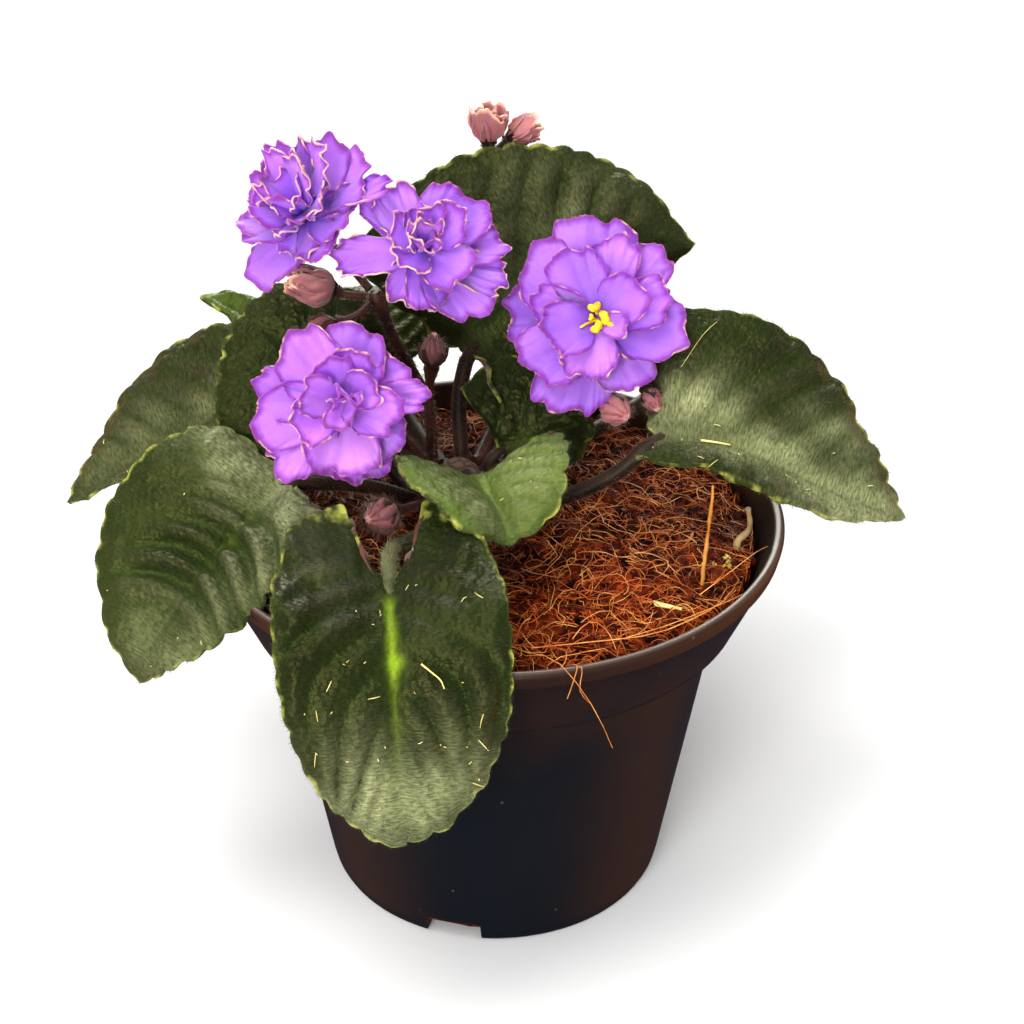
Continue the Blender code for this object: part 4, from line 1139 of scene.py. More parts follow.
RINGS = 34
COLUMNS = 212
LARGE_LEAF = 3300
HAIR_W = 0.065
FRINGE_HAIR_W = 0.08
FRINGE_PITCH = 0.27


def blade_width(t, broad, tip):
    """Share of the full half width at a share t of the blade's length."""
    inside = np.clip(t, 1e-6, 1 - 1e-6)
    turn = inside ** (math.log(0.5) / math.log(broad))
    return np.sin(math.pi * turn) ** lerp(0.42, 0.62 * tip, inside)


class LeafPlan:
    """One leaf's midrib and the frame that its blade is laid on."""

    STATIONS = 80

    def __init__(self, spec):
        self.spec = spec
        start = np.array(seat(spec["azimuth"], spec["height"]))
        out = seat(spec["azimuth"], spec["height"], STALK_R)
        stalk = smooth_path([out, *spec["stalk"], spec["rib"][0]], 14)
        rib = smooth_path([spec["stalk"][-1], *spec["rib"]], 160)
        first = int(np.argmin(np.linalg.norm(rib - np.array(spec["rib"][0]), axis=1)))
        self.rib = smooth_path(rib[first:], self.STATIONS)
        self.stalk = np.vstack([start[None], stalk])
        heading = self.rib[-1] - self.rib[0]
        across = np.cross((0, 0, 1), unit(np.array([heading[0], heading[1], 0.0])))
        self.length = float(np.linalg.norm(np.diff(self.rib, axis=0), axis=1).sum())
        path = np.vstack([self.stalk[:-1], self.rib])
        self.along = tangents(path)[len(self.stalk) - 1:]
        side = unit(across - (self.along @ across)[:, None] * self.along)
        up = np.cross(self.along, side)
        t = np.linspace(0, 1, self.STATIONS)
        roll = np.radians(lerp(*spec.get("roll", (0, 0)), t)) * np.minimum(1, t * 6 + 0.5)
        self.side = side * np.cos(roll)[:, None] + up * np.sin(roll)[:, None]
        self.up = up * np.cos(roll)[:, None] - side * np.sin(roll)[:, None]

    def half_width(self, left, t):
        widths = np.where(left, *self.spec["width"])
        share = np.where(left, *(blade_width(t, broad, self.spec["tip"]) for broad in self.spec["broad"]))
        if "neck" not in self.spec:
            return np.maximum(widths * share, STALK_R * (1 - t))
        return np.maximum(widths * share * np.clip(t / self.spec["neck"], 0, 1) ** 0.3, 0.5)

    def place(self, s, t):
        """Points of the bare blade at shares s across (left is positive) and t along; flat places too."""
        spec = self.spec
        left = s > 0
        half = self.half_width(left, t)
        flat = np.minimum(1.0, t * 7)
        cleft = np.minimum(1.0, t * spec.get("cleft", 7))
        back = spec["lobe"] * self.length * (1 - t) ** 3 * cleft * np.abs(s) ** 1.5
        fold = np.radians(np.where(left, *spec["fold"])) * flat
        reach = s * half
        lift = np.abs(reach) * np.sin(fold) + spec["curl"] * half * s * s * flat
        lift = lift + spec.get("rise", LOBE_RISE) * back
        station = t * (self.STATIONS - 1)
        frames = self.rib, self.along, self.side, self.up
        at, along, side, up = (self.between(rows, station) for rows in frames)
        point = at + side * (reach * np.cos(fold))[..., None] + up * lift[..., None] - along * back[..., None]
        return point, np.stack([reach, t * self.length - back], axis=-1)

    def between(self, rows, station):
        low = np.clip(np.floor(station).astype(int), 0, self.STATIONS - 2)
        share = (station - low)[..., None]
        return rows[low] * (1 - share) + rows[low + 1] * share

    def margin(self, count):
        """Shares (s, t) of evenly spaced points round the margin, from the base, right side first."""
        t = (1 - np.cos(np.linspace(0, math.pi, 400))) / 2
        s = np.concatenate([-np.ones(400), np.ones(400)])
        t = np.concatenate([t, t[::-1]])
        run = run_along(self.place(s, t)[0])
        want = np.linspace(0, run[-1], count)
        return np.where(want < run[399], -1.0, 1.0), np.interp(want, run, t), want


class LeafBlade:
    """The blade as rings from its middle out to its scalloped margin."""

    CENTRE = 0.45

    def __init__(self, name, scallop):
        spec = LEAVES[name]
        seed = list(LEAVES).index(name)
        plan = LeafPlan(spec)
        self.plan = plan
        side, at, run = plan.margin(COLUMNS - 1)
        side, at, run = (np.append(row, row[0]) for row in (side, at, run))
        run[-1] = run[-2] + 2 * STALK_R
        inset = np.minimum(run, run[-1] - run)
        ring = (1 - (1 - np.linspace(0, 1, RINGS)) ** 1.2)[:, None]
        t = self.CENTRE + (at - self.CENTRE)[None] * ring
        edge_half = plan.half_width(side > 0, at)
        s = side * np.clip(ring * edge_half / np.maximum(plan.half_width(side > 0, t), 1e-6), 0, 1)
        points, flat = plan.place(s, t)
        self.flat, self.ring, self.run, self.t = flat, ring, run, t
        self.margin = (1 - ring) * np.linalg.norm(points[-1] - points[0], axis=-1)[None]
        out = unit(points[-1] - points[-4])
        tooth = np.abs(np.sin(math.pi * run / scallop + 0.7 * np.sin(run / 9 + seed))) ** 0.75 - 0.6
        calm = smooth_step(0.0, spec.get("calm", 6.0), inset)
        size = 0.95 + 0.3 * np.sin(run / 17 + seed)
        self.points = points + out * ((tooth * size * calm)[None] * smooth_step(0.72, 1.0, ring))[..., None]
        self.normal = self.normals()
        self.puff = self.bulges(seed)
        x = flat[..., 0]
        groove = -0.7 * np.exp(-(x / 1.3) ** 2) * smooth_step(0.0, 0.1, t) * (1 - smooth_step(0.8, 1.0, t))
        rumple = 0.16 * waves(flat, 4.6, seed + 50) + 0.10 * waves(flat, 1.9, seed + 51)
        wavy = np.sin(run / 2.6 + 1.5 * np.sin(run / 11 + seed))[None] * smooth_step(0.7, 1.0, ring) * 0.55
        turned = -0.9 * smooth_step(0.86, 1.0, ring) * smooth_step(0.0, 14.0, inset)
        ridges = np.sin((flat[..., 1] - 0.026 * x * x) * math.tau / 6.8) * np.exp(-((x - 2) / 15) ** 4)
        ridges = ridges * smooth_step(0.14, 0.26, t) * (1 - smooth_step(0.58, 0.74, t))
        ridges = ridges * spec.get("ridges", 0)
        self.ridges = np.clip(0.6 * ridges, -0.6, 0.6)
        height = spec["puff"] * (self.puff - 0.45) * self.flank
        height = height + groove + rumple + wavy * calm + turned + ridges
        self.points = self.points + self.normal * height[..., None]
        self.normal = self.normals()

    def normals(self):
        p = self.points
        outwards = np.gradient(p, axis=0)
        round_it = np.roll(p[:, :-1], -1, axis=1) - np.roll(p[:, :-1], 1, axis=1)
        round_it = np.concatenate([round_it, round_it[:, :1]], axis=1)
        normal = unit(np.cross(outwards, round_it))
        normal[0] = unit(normal[1:3].mean(axis=(0, 1)))
        return normal if normal.mean(axis=(0, 1)) @ self.plan.up.mean(axis=0) > 0 else -normal

    def bulges(self, seed):
        """Rounded bulges between the side veins, which leave the midrib and bend towards the tip."""
        spec = self.plan.spec
        x = np.abs(self.flat[..., 0])
        y = self.flat[..., 1]
        pitch = 2.2 + 0.105 * self.plan.length
        left = self.flat[..., 0] > 0
        course = y - 0.42 * x - 0.012 * x * x * (20 / np.maximum(spec["width"][0], 12))
        course = course + np.where(left, 0.0, 0.4 * pitch) + 0.8 * waves(self.flat, 22, seed + 9)
        course = course - spec.get("flow", 0) * smooth_step(0.35, 0.9, self.t) * x
        fade = spec.get("flank", (0.70, 0.97))
        self.flank = smooth_step(0.04, 0.30, x / max(spec["width"])) * (1 - smooth_step(*fade, self.ring))
        self.flank = self.flank * (0.75 + 0.35 * waves(self.flat, 18, seed + 5))
        return np.abs(np.sin(math.pi * course / pitch)) ** 0.8

    def sheet(self, thickness, mats):
        """The blade's mesh, from a grid whose rows become the rings from the middle to the margin."""
        obj, u, v = lay_grid(COLUMNS - 1, RINGS - 1)
        column = np.rint(u * (COLUMNS - 1)).astype(int)
        row = np.rint(v * (RINGS - 1)).astype(int)
        set_points(obj, self.points[row, column])
        facing = np.zeros(len(obj.data.polygons) * 3)
        obj.data.polygons.foreach_get("normal", facing)
        if facing.reshape(-1, 3).mean(axis=0) @ self.normal.mean(axis=(0, 1)) < 0:
            obj.data.flip_normals()
        set_flat_map(obj, self.flat[row, column])
        set_values(obj, **{name: numbers[row, column] for name, numbers in self.marks().items()})
        merge_points(obj, 1e-6)
        for mat in mats:
            obj.data.materials.append(mat)
        thicken(obj, thickness, back_slot=1)
        smooth(obj, 75)
        return obj

    def marks(self):
        """What the skin's material reads at each point: how lime, bulged, far in and young it is, and its
        painted sheen.
        """
        spec = self.plan.spec
        x = self.flat[..., 0]
        fade = smooth_step(0.05, 0.12, self.t) * (1 - 0.75 * smooth_step(0.36, 0.44, self.t))
        wander = 1 + 0.3 * waves(self.flat, 5, 61)
        strip = 0.75 * np.exp(-(x / (0.95 * wander)) ** 2) * fade * (1 - smooth_step(0.5, 0.9, self.t))
        blot = np.exp(-((x - 0.6) / 1.5) ** 2 - ((self.t - 0.34) / 0.027) ** 2)
        cover = self.flank.clip(0, 1)
        # painted sheen: pale highlight spots laid on the places that each leaf lists
        painted_sheen = np.zeros(x.shape)
        for across, far, wide, long, strength in spec.get("painted_sheen", ()):
            spot = ((x / max(spec["width"]) - across) / wide) ** 2 + ((self.t - far) / long) ** 2
            painted_sheen = painted_sheen + strength * np.exp(-spot)
        return {
            "lime": np.clip(strip + blot, 0, 1) * spec.get("streak", 0.1),
            "puff": (self.puff * cover + 0.35 * (1 - cover) + self.ridges).clip(0, 1),
            "margin": self.margin,
            "young": (spec.get("young", 0) * (0.75 + 0.35 * waves(self.flat, 14, 77))).clip(0, 1),
            "painted_sheen": (painted_sheen * (1 + 0.4 * waves(self.flat, 9, 31))).clip(0, 1),
        }

    def hairs(self, count, length, mat, seed):
        """Short hairs over the blade, which lean towards the margin and the tip."""
        rng = np.random.default_rng(seed)
        row = (RINGS - 1) * np.sqrt(rng.random(count)) * 0.995
        column = rng.uniform(0, COLUMNS - 2, count)
        r0, c0 = row.astype(int), column.astype(int)
        r1 = np.minimum(r0 + 1, RINGS - 1)
        fr, fc = (row - r0)[:, None], (column - c0)[:, None]
        near = self.points[r0, c0] * (1 - fc) + self.points[r0, c0 + 1] * fc
        far = self.points[r1, c0] * (1 - fc) + self.points[r1, c0 + 1] * fc
        normal = self.normal[r0, c0]
        outwards = unit(self.points[-1, c0] - self.points[0, c0])
        ahead = self.plan.between(self.plan.along, self.t[r0, c0] * (self.plan.STATIONS - 1))
        way = 0.65 * outwards + 0.5 * ahead + normal * rng.uniform(0.35, 0.95, count)[:, None]
        way = way + rng.normal(0, 0.22, (count, 3))
        roots = near * (1 - fr) + far * fr - normal * 0.05
        return hair_coat(roots, way, length * rng.uniform(0.55, 1.15, count), HAIR_W, mat)

    def fringe(self, length, mat, seed):
        """A fringe of hairs all along the margin."""
        rng = np.random.default_rng(seed)
        n = int(self.run[-1] / FRINGE_PITCH)
        at = np.sort(rng.uniform(2, self.run[-1] - 2, n))
        edge, inner, normal = (rows_at(at, self.run, rows)
                               for rows in (self.points[-1], self.points[-4], self.normal[-2]))
        way = unit(edge - inner) + normal * rng.uniform(-0.35, 0.5, n)[:, None] + rng.normal(0, 0.2, (n, 3))
        roots = edge - normal * rng.uniform(0.1, 0.7, n)[:, None]
        return hair_coat(roots, way, length * rng.uniform(0.5, 1.2, n), FRINGE_HAIR_W, mat)

    def stalk(self, skin, down, seed):
        """The stalk from the crown, which runs on as the raised midrib under the blade."""
        plan = self.plan
        place = np.arange(2, int(plan.STATIONS * 0.86), 3)
        share = place / plan.STATIONS
        keel_r = np.interp(share, [0, 0.12, 0.86], [STALK_R, 1.15, 0.4])
        sink = (keel_r + 1.2 + 0.8 * plan.spec.get("ridges", 0)) * smooth_step(-0.02, 0.10, share)
        path = np.vstack([plan.stalk[:-1], plan.rib[place] - plan.up[place] * sink[:, None]])
        radii = np.concatenate([np.full(len(plan.stalk) - 1, STALK_R), keel_r])
        return downy_stalk(path, radii, skin, down, per_mm=14, length=1.2, width=0.12, seed=seed,
                           resolution=3)


class OBJECT_OT_violet_leaves(bpy.types.Operator):
    """Grow every leaf: quilted blade, scalloped margin, stalk and hairs"""

    bl_idname = "object.violet_leaves"
    bl_label = "Leaves"

    def execute(self, context):
        settings = context.scene.violet_leaves
        mats = leaf_skin(settings), leaf_underside(settings)
        hair = shared("leaf_hair")
        hair_length = settings.hair_length / MM
        for seed, (name, spec) in enumerate(LEAVES.items()):
            blade = LeafBlade(name, settings.scallop / MM)
            size = blade.plan.length * sum(spec["width"])
            hairs = int(settings.hairs * min(1.0, size / LARGE_LEAF))
            skin, down = spec.get("stalk_finish", ("leaf_stalk_skin", "stalk_hair"))
            parts = [blade.sheet(settings.thickness / MM, mats), blade.hairs(hairs, hair_length, hair, seed),
                     blade.fringe(hair_length * spec.get("fringe", 0.85), hair, seed),
                     *blade.stalk(shared(skin), shared(down), seed)]
            finish_piece(join(parts, name + "_grown"), "leaf", name)
        return {"FINISHED"}


# -------- stems

class OBJECT_OT_violet_stems(bpy.types.Operator):
    """Grow the downy flower stems"""

    bl_idname = "object.violet_stems"
    bl_label = "Flower Stems"

    def execute(self, context):
        for seed, (name, spec) in enumerate(FLOWER_STEMS.items()):
            start = seat(spec["azimuth"], spec["height"])
            out = seat(spec["azimuth"], spec["height"], 2.2)
            path = np.vstack([[start], smooth_path([out, *spec["route"]], 26)])
            radii = np.concatenate([np.linspace(1.35, 1.1, len(path) - 4), [1.2, 1.45, 1.75, 1.9, 1.1]])
            path = np.vstack([path, path[-1] + unit(path[-1] - path[-3]) * 1.4])
            skin, down = shared("flower_stalk_skin"), shared("stalk_hair")
            parts = downy_stalk(path, radii, skin, down, per_mm=22, length=1.3, width=0.11, seed=40 + seed,
                                resolution=3)
            finish_piece(join(parts, name + "_grown"), "stem", name)
        return {"FINISHED"}


# -------- flowers

PETAL_FAN = math.radians(138)
PETAL_WAIST = 0.80


def face_axes(facing):
    """The flower's right, up and outward directions."""
    out = unit(np.array(facing, float))
    right = unit(np.cross((0, 0, 1), out))
    return right, np.cross(out, right), out


def petal_sheet(at, axes, petal, seed, mat, thickness, columns=80, rows=17, pointed=0.0):
    """One petal: rays from its claw to a frilled margin, raised, curled and cupped off the face."""
    turn, reach, wide, lift, rise, curl, cup, frill, blush = petal
    right, up, out = axes
    rng = np.random.default_rng(seed)
    obj, u, v = lay_grid(columns, rows)
    v = 1 - (1 - v) ** 1.25
    phi = (u * 2 - 1) * PETAL_FAN
    broad = 0.56 * reach
    ahead = np.cos(phi)
    height = np.where(ahead > 0, (reach - broad) * np.abs(ahead) ** 0.72, broad * PETAL_WAIST * ahead)
    edge_q = wide / 2 * np.sign(phi) * np.abs(np.sin(phi)) ** np.where(ahead > 0, 0.86, 1.0)
    edge_q = edge_q * (1 - pointed * np.maximum(ahead, 0) ** 0.7)
    edge_p = broad + height
    arc = phi * (wide + reach) / 4
    k1, k2, k3 = rng.uniform(0, math.tau, 3)
    clump = 0.55 + 0.6 * np.sin(arc / 2.7 + k3 + np.sin(arc / 1.3)) ** 2
    uneven = 1 + 0.05 * np.sin(arc / 3.3 + k1) + 0.035 * np.sin(arc / 1.2 + k2) * min(1.0, frill)
    tooth = 0.14 * np.sin(arc / 0.30 + 3 * np.sin(arc / 1.7 + k3)) * clump
    p = edge_p * v * (1 + (uneven - 1) * v) + tooth * v ** 8
    q = (edge_q * v + 0.7 * np.sin(phi) * (1 - v)) * (1 + (uneven - 1) * v)
    lean, bow = math.radians(rise), math.radians(curl)
    theta = lean + bow * p / reach
    if abs(bow) > 1e-3:
        far = reach / bow * (np.sin(theta) - math.sin(lean))
        high = reach / bow * (math.cos(lean) - np.cos(theta))
    else:
        far, high = p * math.cos(lean), p * math.sin(lean)
    ruffle = (np.sin(arc / 0.74 + k1 + 1.2 * np.sin(arc / 2.3 + k2)) * 0.65 + np.sin(arc / 0.36 + k3) * 0.22)
    wave = 0.8 * np.sin(arc / 2.4 + k2) * v ** 2.5 + 0.25 * np.sin(q / 0.95 + k3) * v * (1 - v)
    wave = wave + q * math.sin(rng.normal(0, 0.12)) * v
    rim = frill * v ** 7 * clump
    high = high + cup * (q / (wide / 2)) ** 2 * wide / 2 + ruffle * rim + wave
    high = high - 0.5 * np.exp(-(q / 0.9) ** 2) * (1 - v) * v * 3
    far = far + 0.3 * rim * np.cos(arc / 0.74 + k2)
    spin = math.radians(turn)
    d = right * math.cos(spin) + up * math.sin(spin)
    w = up * math.cos(spin) - right * math.sin(spin)
    set_points(obj, at + far[:, None] * d + q[:, None] * w + (lift + high)[:, None] * out)
    set_values(obj, margin=(1 - v) * np.hypot(edge_p, edge_q), along=p / reach + 0.3 * blush, rise=p / reach,
               blush=blush + 0.15 * np.sin(arc / 4 + k1), peach=max(frill - 1.25, 0.0) * 0.6)
    obj.data.materials.append(mat)
    thicken(obj, thickness, offset=0.0)
    return obj


class OBJECT_OT_violet_flowers(bpy.types.Operator):
    """Open the four double flowers, petal by petal, with their calyxes and pollen sacs"""

    bl_idname = "object.violet_flowers"
    bl_label = "Flowers"

    def execute(self, context):
        settings = context.scene.violet_flowers
        tissue = petal_tissue(settings)
        for order, (name, spec) in enumerate(FLOWERS.items()):
            axes = face_axes(spec["faces"])
            at = np.array(spec["at"], float)
            for ring in ("outer_petals", "inner_petals", "centre_petals"):
                sheets = []
                for k, (*shape, frill, blush) in enumerate(spec.get(ring, ())):
                    petal = (*shape, frill * settings.frill, blush)
                    seed = 100 * order + 10 * len(ring) + k
                    sheets.append(petal_sheet(at, axes, petal, seed, tissue, settings.thickness / MM))
                if sheets:
                    piece = join(sheets, f"{name}_{ring}_open")
                    smooth(piece, 80)
                    finish_piece(piece, "petal", f"{name}_{ring}")
            self.calyx(name, spec, at, axes, order)
        self.pollen_sacs(FLOWERS["flower_right"])
        return {"FINISHED"}

    def calyx(self, name, spec, at, axes, order):
        """The flower's own stalk, which widens into five narrow sepals behind the petals."""
        skin = shared("flower_stalk_skin")
        out = axes[2]
        bend = at - out * 9
        line = smooth_path([branch_start(spec["stem"], bend), bend, at - out * 2.6], 14)
        path = np.vstack([line, at - out * 1.5, at - out * 0.9])
        radii = [*np.linspace(PEDICEL_R, PEDICEL_R * 1.05, 12), 1.3, 1.8, 2.5, 3.0]
        parts = downy_stalk(path, radii, skin, shared("stalk_hair"), per_mm=16, length=1.1, width=0.1,
                            seed=60 + order, downy=11)
        for k in range(5):
            sepal = (72 * k + 20, 8.0, 3.6, 0.0, -10, -6, 0.2, 0.1, 0.0)
            parts.append(petal_sheet(at - out * 1.1, axes, sepal, 200 + k, skin, 0.5, columns=10, rows=8,
                                     pointed=0.75))
        piece = join(parts, f"{name}_calyx")
        smooth(piece, 60)
        finish_piece(piece, "stem", f"{name}_stalk")

    def pollen_sacs(self, spec):
        """Plump two-lobed sacs on short threads round a thin pale style."""
        right, up, out = face_axes(spec["faces"])
        at = np.array(spec["at"], float) + out * 4.2
        mat = pollen_sac()
        plans = [(-1.0, 2.5, 1.55, 20), (1.2, 0.2, 1.7, 110), (-0.4, -1.9, 1.6, 50), (2.7, -1.4, 1.0, 150),
                 (-1.7, 0.2, 0.8, 80)]
        parts = []
        threads = []
        for x, y, size, lean in plans:
            sac = added(bpy.ops.mesh.primitive_uv_sphere_add, segments=20, ring_count=12, radius=1.0)
            co = points_of(sac)
            turn = math.radians(lean)
            groove = 1 - 0.34 * np.exp(-(co[:, 0] / 0.28) ** 2)
            body = co * np.array([1.0, 0.72, 0.75]) * groove[:, None] * size
            body[:, 1] += 0.25 * size * (co[:, 0] ** 2 - 0.4)
            spun = np.column_stack([body[:, 0] * math.cos(turn) - body[:, 1] * math.sin(turn),
                                    body[:, 0] * math.sin(turn) + body[:, 1] * math.cos(turn), body[:, 2]])
            centre = at + right * x + up * y + out * 1.2
            set_points(sac, centre + spun[:, :1] * right + spun[:, 1:2] * up + spun[:, 2:] * out)
            sac.data.materials.append(mat)
            parts.append(sac)
            root = at + right * x * 0.3 + up * y * 0.3 - out * 1.4
            threads.append((np.array([root, centre]), [0.35, 0.3], 0))
        style = np.array([at - out * 1.0, at - right * 2.6 - up * 1.2 + out * 0.9,
                          at - right * 3.9 - up * 2.1 + out * 1.7])
        threads.append((smooth_path(style, 8), np.linspace(0.3, 0.26, 8), 1))
        parts.append(rods(threads, [mat, shared("style_tissue")], resolution=1))
        piece = join(parts, "flower_right_pollen_sacs")
        smooth(piece, 60)
        finish_piece(piece, "anther", "flower_right_anthers")


# -------- buds

class OBJECT_OT_violet_buds(bpy.types.Operator):
    """Form the buds: a folded corolla, five sepals, a stalk and down"""

    bl_idname = "object.violet_buds"
    bl_label = "Buds"

    def execute(self, context):
        tissue = bud_tissue(context.scene.violet_flowers)
        for seed, (name, spec) in enumerate(BUDS.items()):
            middle = np.array(spec["at"], float)
            radius, length = spec["size"]
            if "seat" in spec:
                starts = [seat(*spec["seat"]), seat(*spec["seat"], 1.8)]
            else:
                starts = [branch_start(spec["stem"], spec["route"][0])]
            toward = unit(middle - np.array(spec["route"][-1], float))
            axes = face_axes(toward + np.array([0.01, 0.02, 0]))
            foot = middle - toward * length * 0.5
            line = smooth_path([*starts, *spec["route"], foot - toward * 0.4], 20)
            radii = np.concatenate([np.full(16, PEDICEL_R), [1.0, 1.2, 1.5, 1.9]])
            skin, down = shared("flower_stalk_skin"), shared("stalk_hair")
            parts = downy_stalk(line, radii, skin, down, per_mm=16, length=1.1, width=0.1, seed=300 + seed)
            if spec["opening"] > 0.1:
                parts += self.whorl(foot, axes, radius, length, spec, tissue, seed)
            if spec["opening"] < 0.5:
                parts.append(self.corolla(foot, axes, toward, spec, tissue, seed))
            # five narrow sepals hug the lower half of the bud
            reach = length * (0.78 - 0.45 * spec["opening"])
            for k in range(5):
                sepal = (72 * k + 30 * seed, reach, radius * 0.72, 0.0, 26, 62, 0.25, 0.1, 0.0)
                base = foot - toward * 0.2
                parts.append(petal_sheet(base, axes, sepal, 400 + k, skin, 0.45, columns=12, rows=10,
                                         pointed=0.7))
            parts.append(self.down(foot, axes, toward, radius, length, spec["fuzz"], down, seed))
            piece = join(parts, name + "_grown")
            smooth(piece, 70)
            finish_piece(piece, "bud", name)
        return {"FINISHED"}

    def corolla(self, foot, axes, toward, spec, tissue, seed):
        """The closed petals, rolled into a ribbed egg with a ragged tip."""
        radius, length = spec["size"][0] * 0.9, spec["size"][1] * 0.95
        body, turn, share = lay_grid(96, 40)
        right, up, _ = axes
        profile = np.sin(math.pi * np.clip(share, 0, 1) ** 0.85) ** 0.6
        profile = np.where(share < 0.06, profile * share / 0.06, profile)
        angle = turn * math.tau + 0.7 * share + seed
        folds = 1 + spec["ribs"] * (np.abs(np.cos(3.5 * angle)) ** 0.5 - 0.8) * smooth_step(0.08, 0.4, share)
        tip = smooth_step(0.80, 1.0, share)
        ragged = 0.5 * np.sin(angle * 9 + 2 * np.sin(angle * 2)) + 0.3 * np.sin(angle * 17)
        r = np.maximum(radius * profile * folds + tip * 0.35 * ragged, 0.35 * smooth_step(0.0, 0.05, share))
        rise = length * share + tip * 0.5 * np.cos(angle * 7)
        points = (foot + np.outer(rise, toward) + np.outer(r * np.cos(turn * math.tau), right)
                  + np.outer(r * np.sin(turn * math.tau), up))
        set_points(body, points)
        set_values(body, margin=(1 - share) * length + 0.4, rise=share,
                   blush=spec["pink"] * (0.55 + 0.45 * smooth_step(0.05, 0.5, share)))
        merge_points(body)
        body.data.materials.append(tissue)
        thicken(body, 0.4)
        return body

    def whorl(self, foot, axes, radius, length, spec, tissue, seed):
        """Upright petals packed round one another, open a little at their frilled tops."""
        shut = 1 - spec["opening"]
        plans = [(51.4 * k + 8 * (k % 3), length * (0.90 + 0.07 * (k % 3) + 0.24 * shut), radius * 1.45, 0.0,
                  50 - 18 * shut + 4 * (k % 2), 16 + 105 * shut, 0.45 - 0.1 * shut, 1.0, spec["pink"])
                 for k in range(7)]
        plans += [(90 * k + 20, length * 0.95, radius * 0.9, 0.3, 74, 12, 0.5, 1.0, spec["pink"])
                  for k in range(4)]
        return [petal_sheet(foot, axes, plan, 700 + 20 * seed + k, tissue, 0.4, columns=48, rows=14)
                for k, plan in enumerate(plans)]

    def down(self, foot, axes, toward, radius, length, fuzz, mat, seed):
        rng = np.random.default_rng(500 + seed)
        n = int(260 * fuzz)
        share = rng.uniform(0.05, 0.95, n)
        turn = rng.uniform(0, math.tau, n)
        right, up, _ = axes
        r = radius * np.sin(math.pi * share ** 0.85) ** 0.6 * 0.97
        side = right * np.cos(turn)[:, None] + up * np.sin(turn)[:, None]
        roots = foot + np.outer(share * length, toward) + side * r[:, None]
        way = side + toward * rng.uniform(-0.1, 0.9, n)[:, None] + rng.normal(0, 0.15, (n, 3))
        return hair_coat(roots, way, (0.8 + 0.5 * fuzz) * rng.uniform(0.5, 1.2, n), 0.10, mat)


# -------- straws and specks

class OBJECT_OT_violet_straws(bpy.types.Operator):
    """Stand the dry straw and root in the coir, lay the chip, and scatter specks on the leaves"""

    bl_idname = "object.violet_straws"
    bl_label = "Straws"

    def execute(self, context):
        for seed, (name, spec) in enumerate(STRAWS.items()):
            x, y = spec["foot"]
            foot = (x, y, float(coir_height(x, y)) + spec["lift"])
            line = smooth_path([foot, *spec["route"]], 22)
            wobble = 0.12 * waves(line, 3.0, seed)
            line = line + np.stack([wobble, -wobble, 0 * wobble], axis=1)
            taper = np.linspace(1.0, 0.62, 22) * (1 + 0.16 * waves(line, 2.4, seed + 7))
            rod = rods([(line, spec["radius"] * taper, 0)], [shared(spec["finish"])], resolution=3)
            if "pressed" in spec:
                self.flatten(rod, foot[2] + 0.4, spec["pressed"])
            rename(rod, name + "_dry")
            finish_piece(rod, "straw", name)
        paths = self.specks(context.scene.violet_leaves.scallop / MM)
        specks = rods(paths, [shared("pale_chaff")], resolution=0)
        rename(specks, "straw_specks")
        finish_piece(specks, "straw")
        return {"FINISHED"}

    def flatten(self, rod, level, share):
        """Press a rod into a flat chip at one level."""
        for vertex in rod.data.vertices:
            vertex.co.z = (level + (vertex.co.z / MM - level) * share) * MM

    def specks(self, scallop):
        """Crumbs of straw, a millimetre or two long, that have fallen on the leaves and the coir."""
        rng = np.random.default_rng(21)
        paths = []
        for name, count in CRUMBS.items():
            blade = LeafBlade(name, scallop)
            for _ in range(count):
                row = int((RINGS - 1) * math.sqrt(rng.random()) * 0.9)
                column = int(rng.integers(0, COLUMNS - 2))
                at, normal = blade.points[row, column], blade.normal[row, column]
                way = unit(np.cross(normal, rng.normal(size=3)))
                size = 0.2 + 1.5 * rng.random() ** 3
                paths.append(self.crumb(at + normal * 0.35, way, normal, size, 1.0, rng))
            for spots, radius in LAID_STRAWS.get(name, ()):
                paths.append((self.lay(blade, spots), np.linspace(1, 0.6, 12) * radius, 0))
        for _ in range(9):
            x, y = 50.5 + 2.2 * rng.normal(), -14.5 + 2.2 * rng.normal()
            way = unit(rng.normal(size=3) * (1, 1, 0.4))
            at = np.array([x, y, float(coir_height(x, y)) + 3.0])
            paths.append(self.crumb(at, way, np.array([0, 0, 1.0]), 0.5 + 0.7 * rng.random(), 3.2, rng))
        return paths

    def lay(self, blade, spots):
        """A line over a blade through the points of it that are nearest to some spots, seen from above."""
        rows = []
        for x, y in spots:
            away = np.hypot(blade.points[..., 0] - x, blade.points[..., 1] - y)
            at = np.unravel_index(np.argmin(away), away.shape)
            rows.append(blade.points[at] + blade.normal[at] * 0.45)
        return smooth_path(rows, 12)

    def crumb(self, at, way, normal, size, stout, rng):
        line = np.array([at - way * size, at + normal * 0.15, at + way * size + rng.normal(0, 0.15, 3)])
        return line, np.array([0.5, 1.0, 0.6]) * 0.12 * stout, 0


# -------- the studio

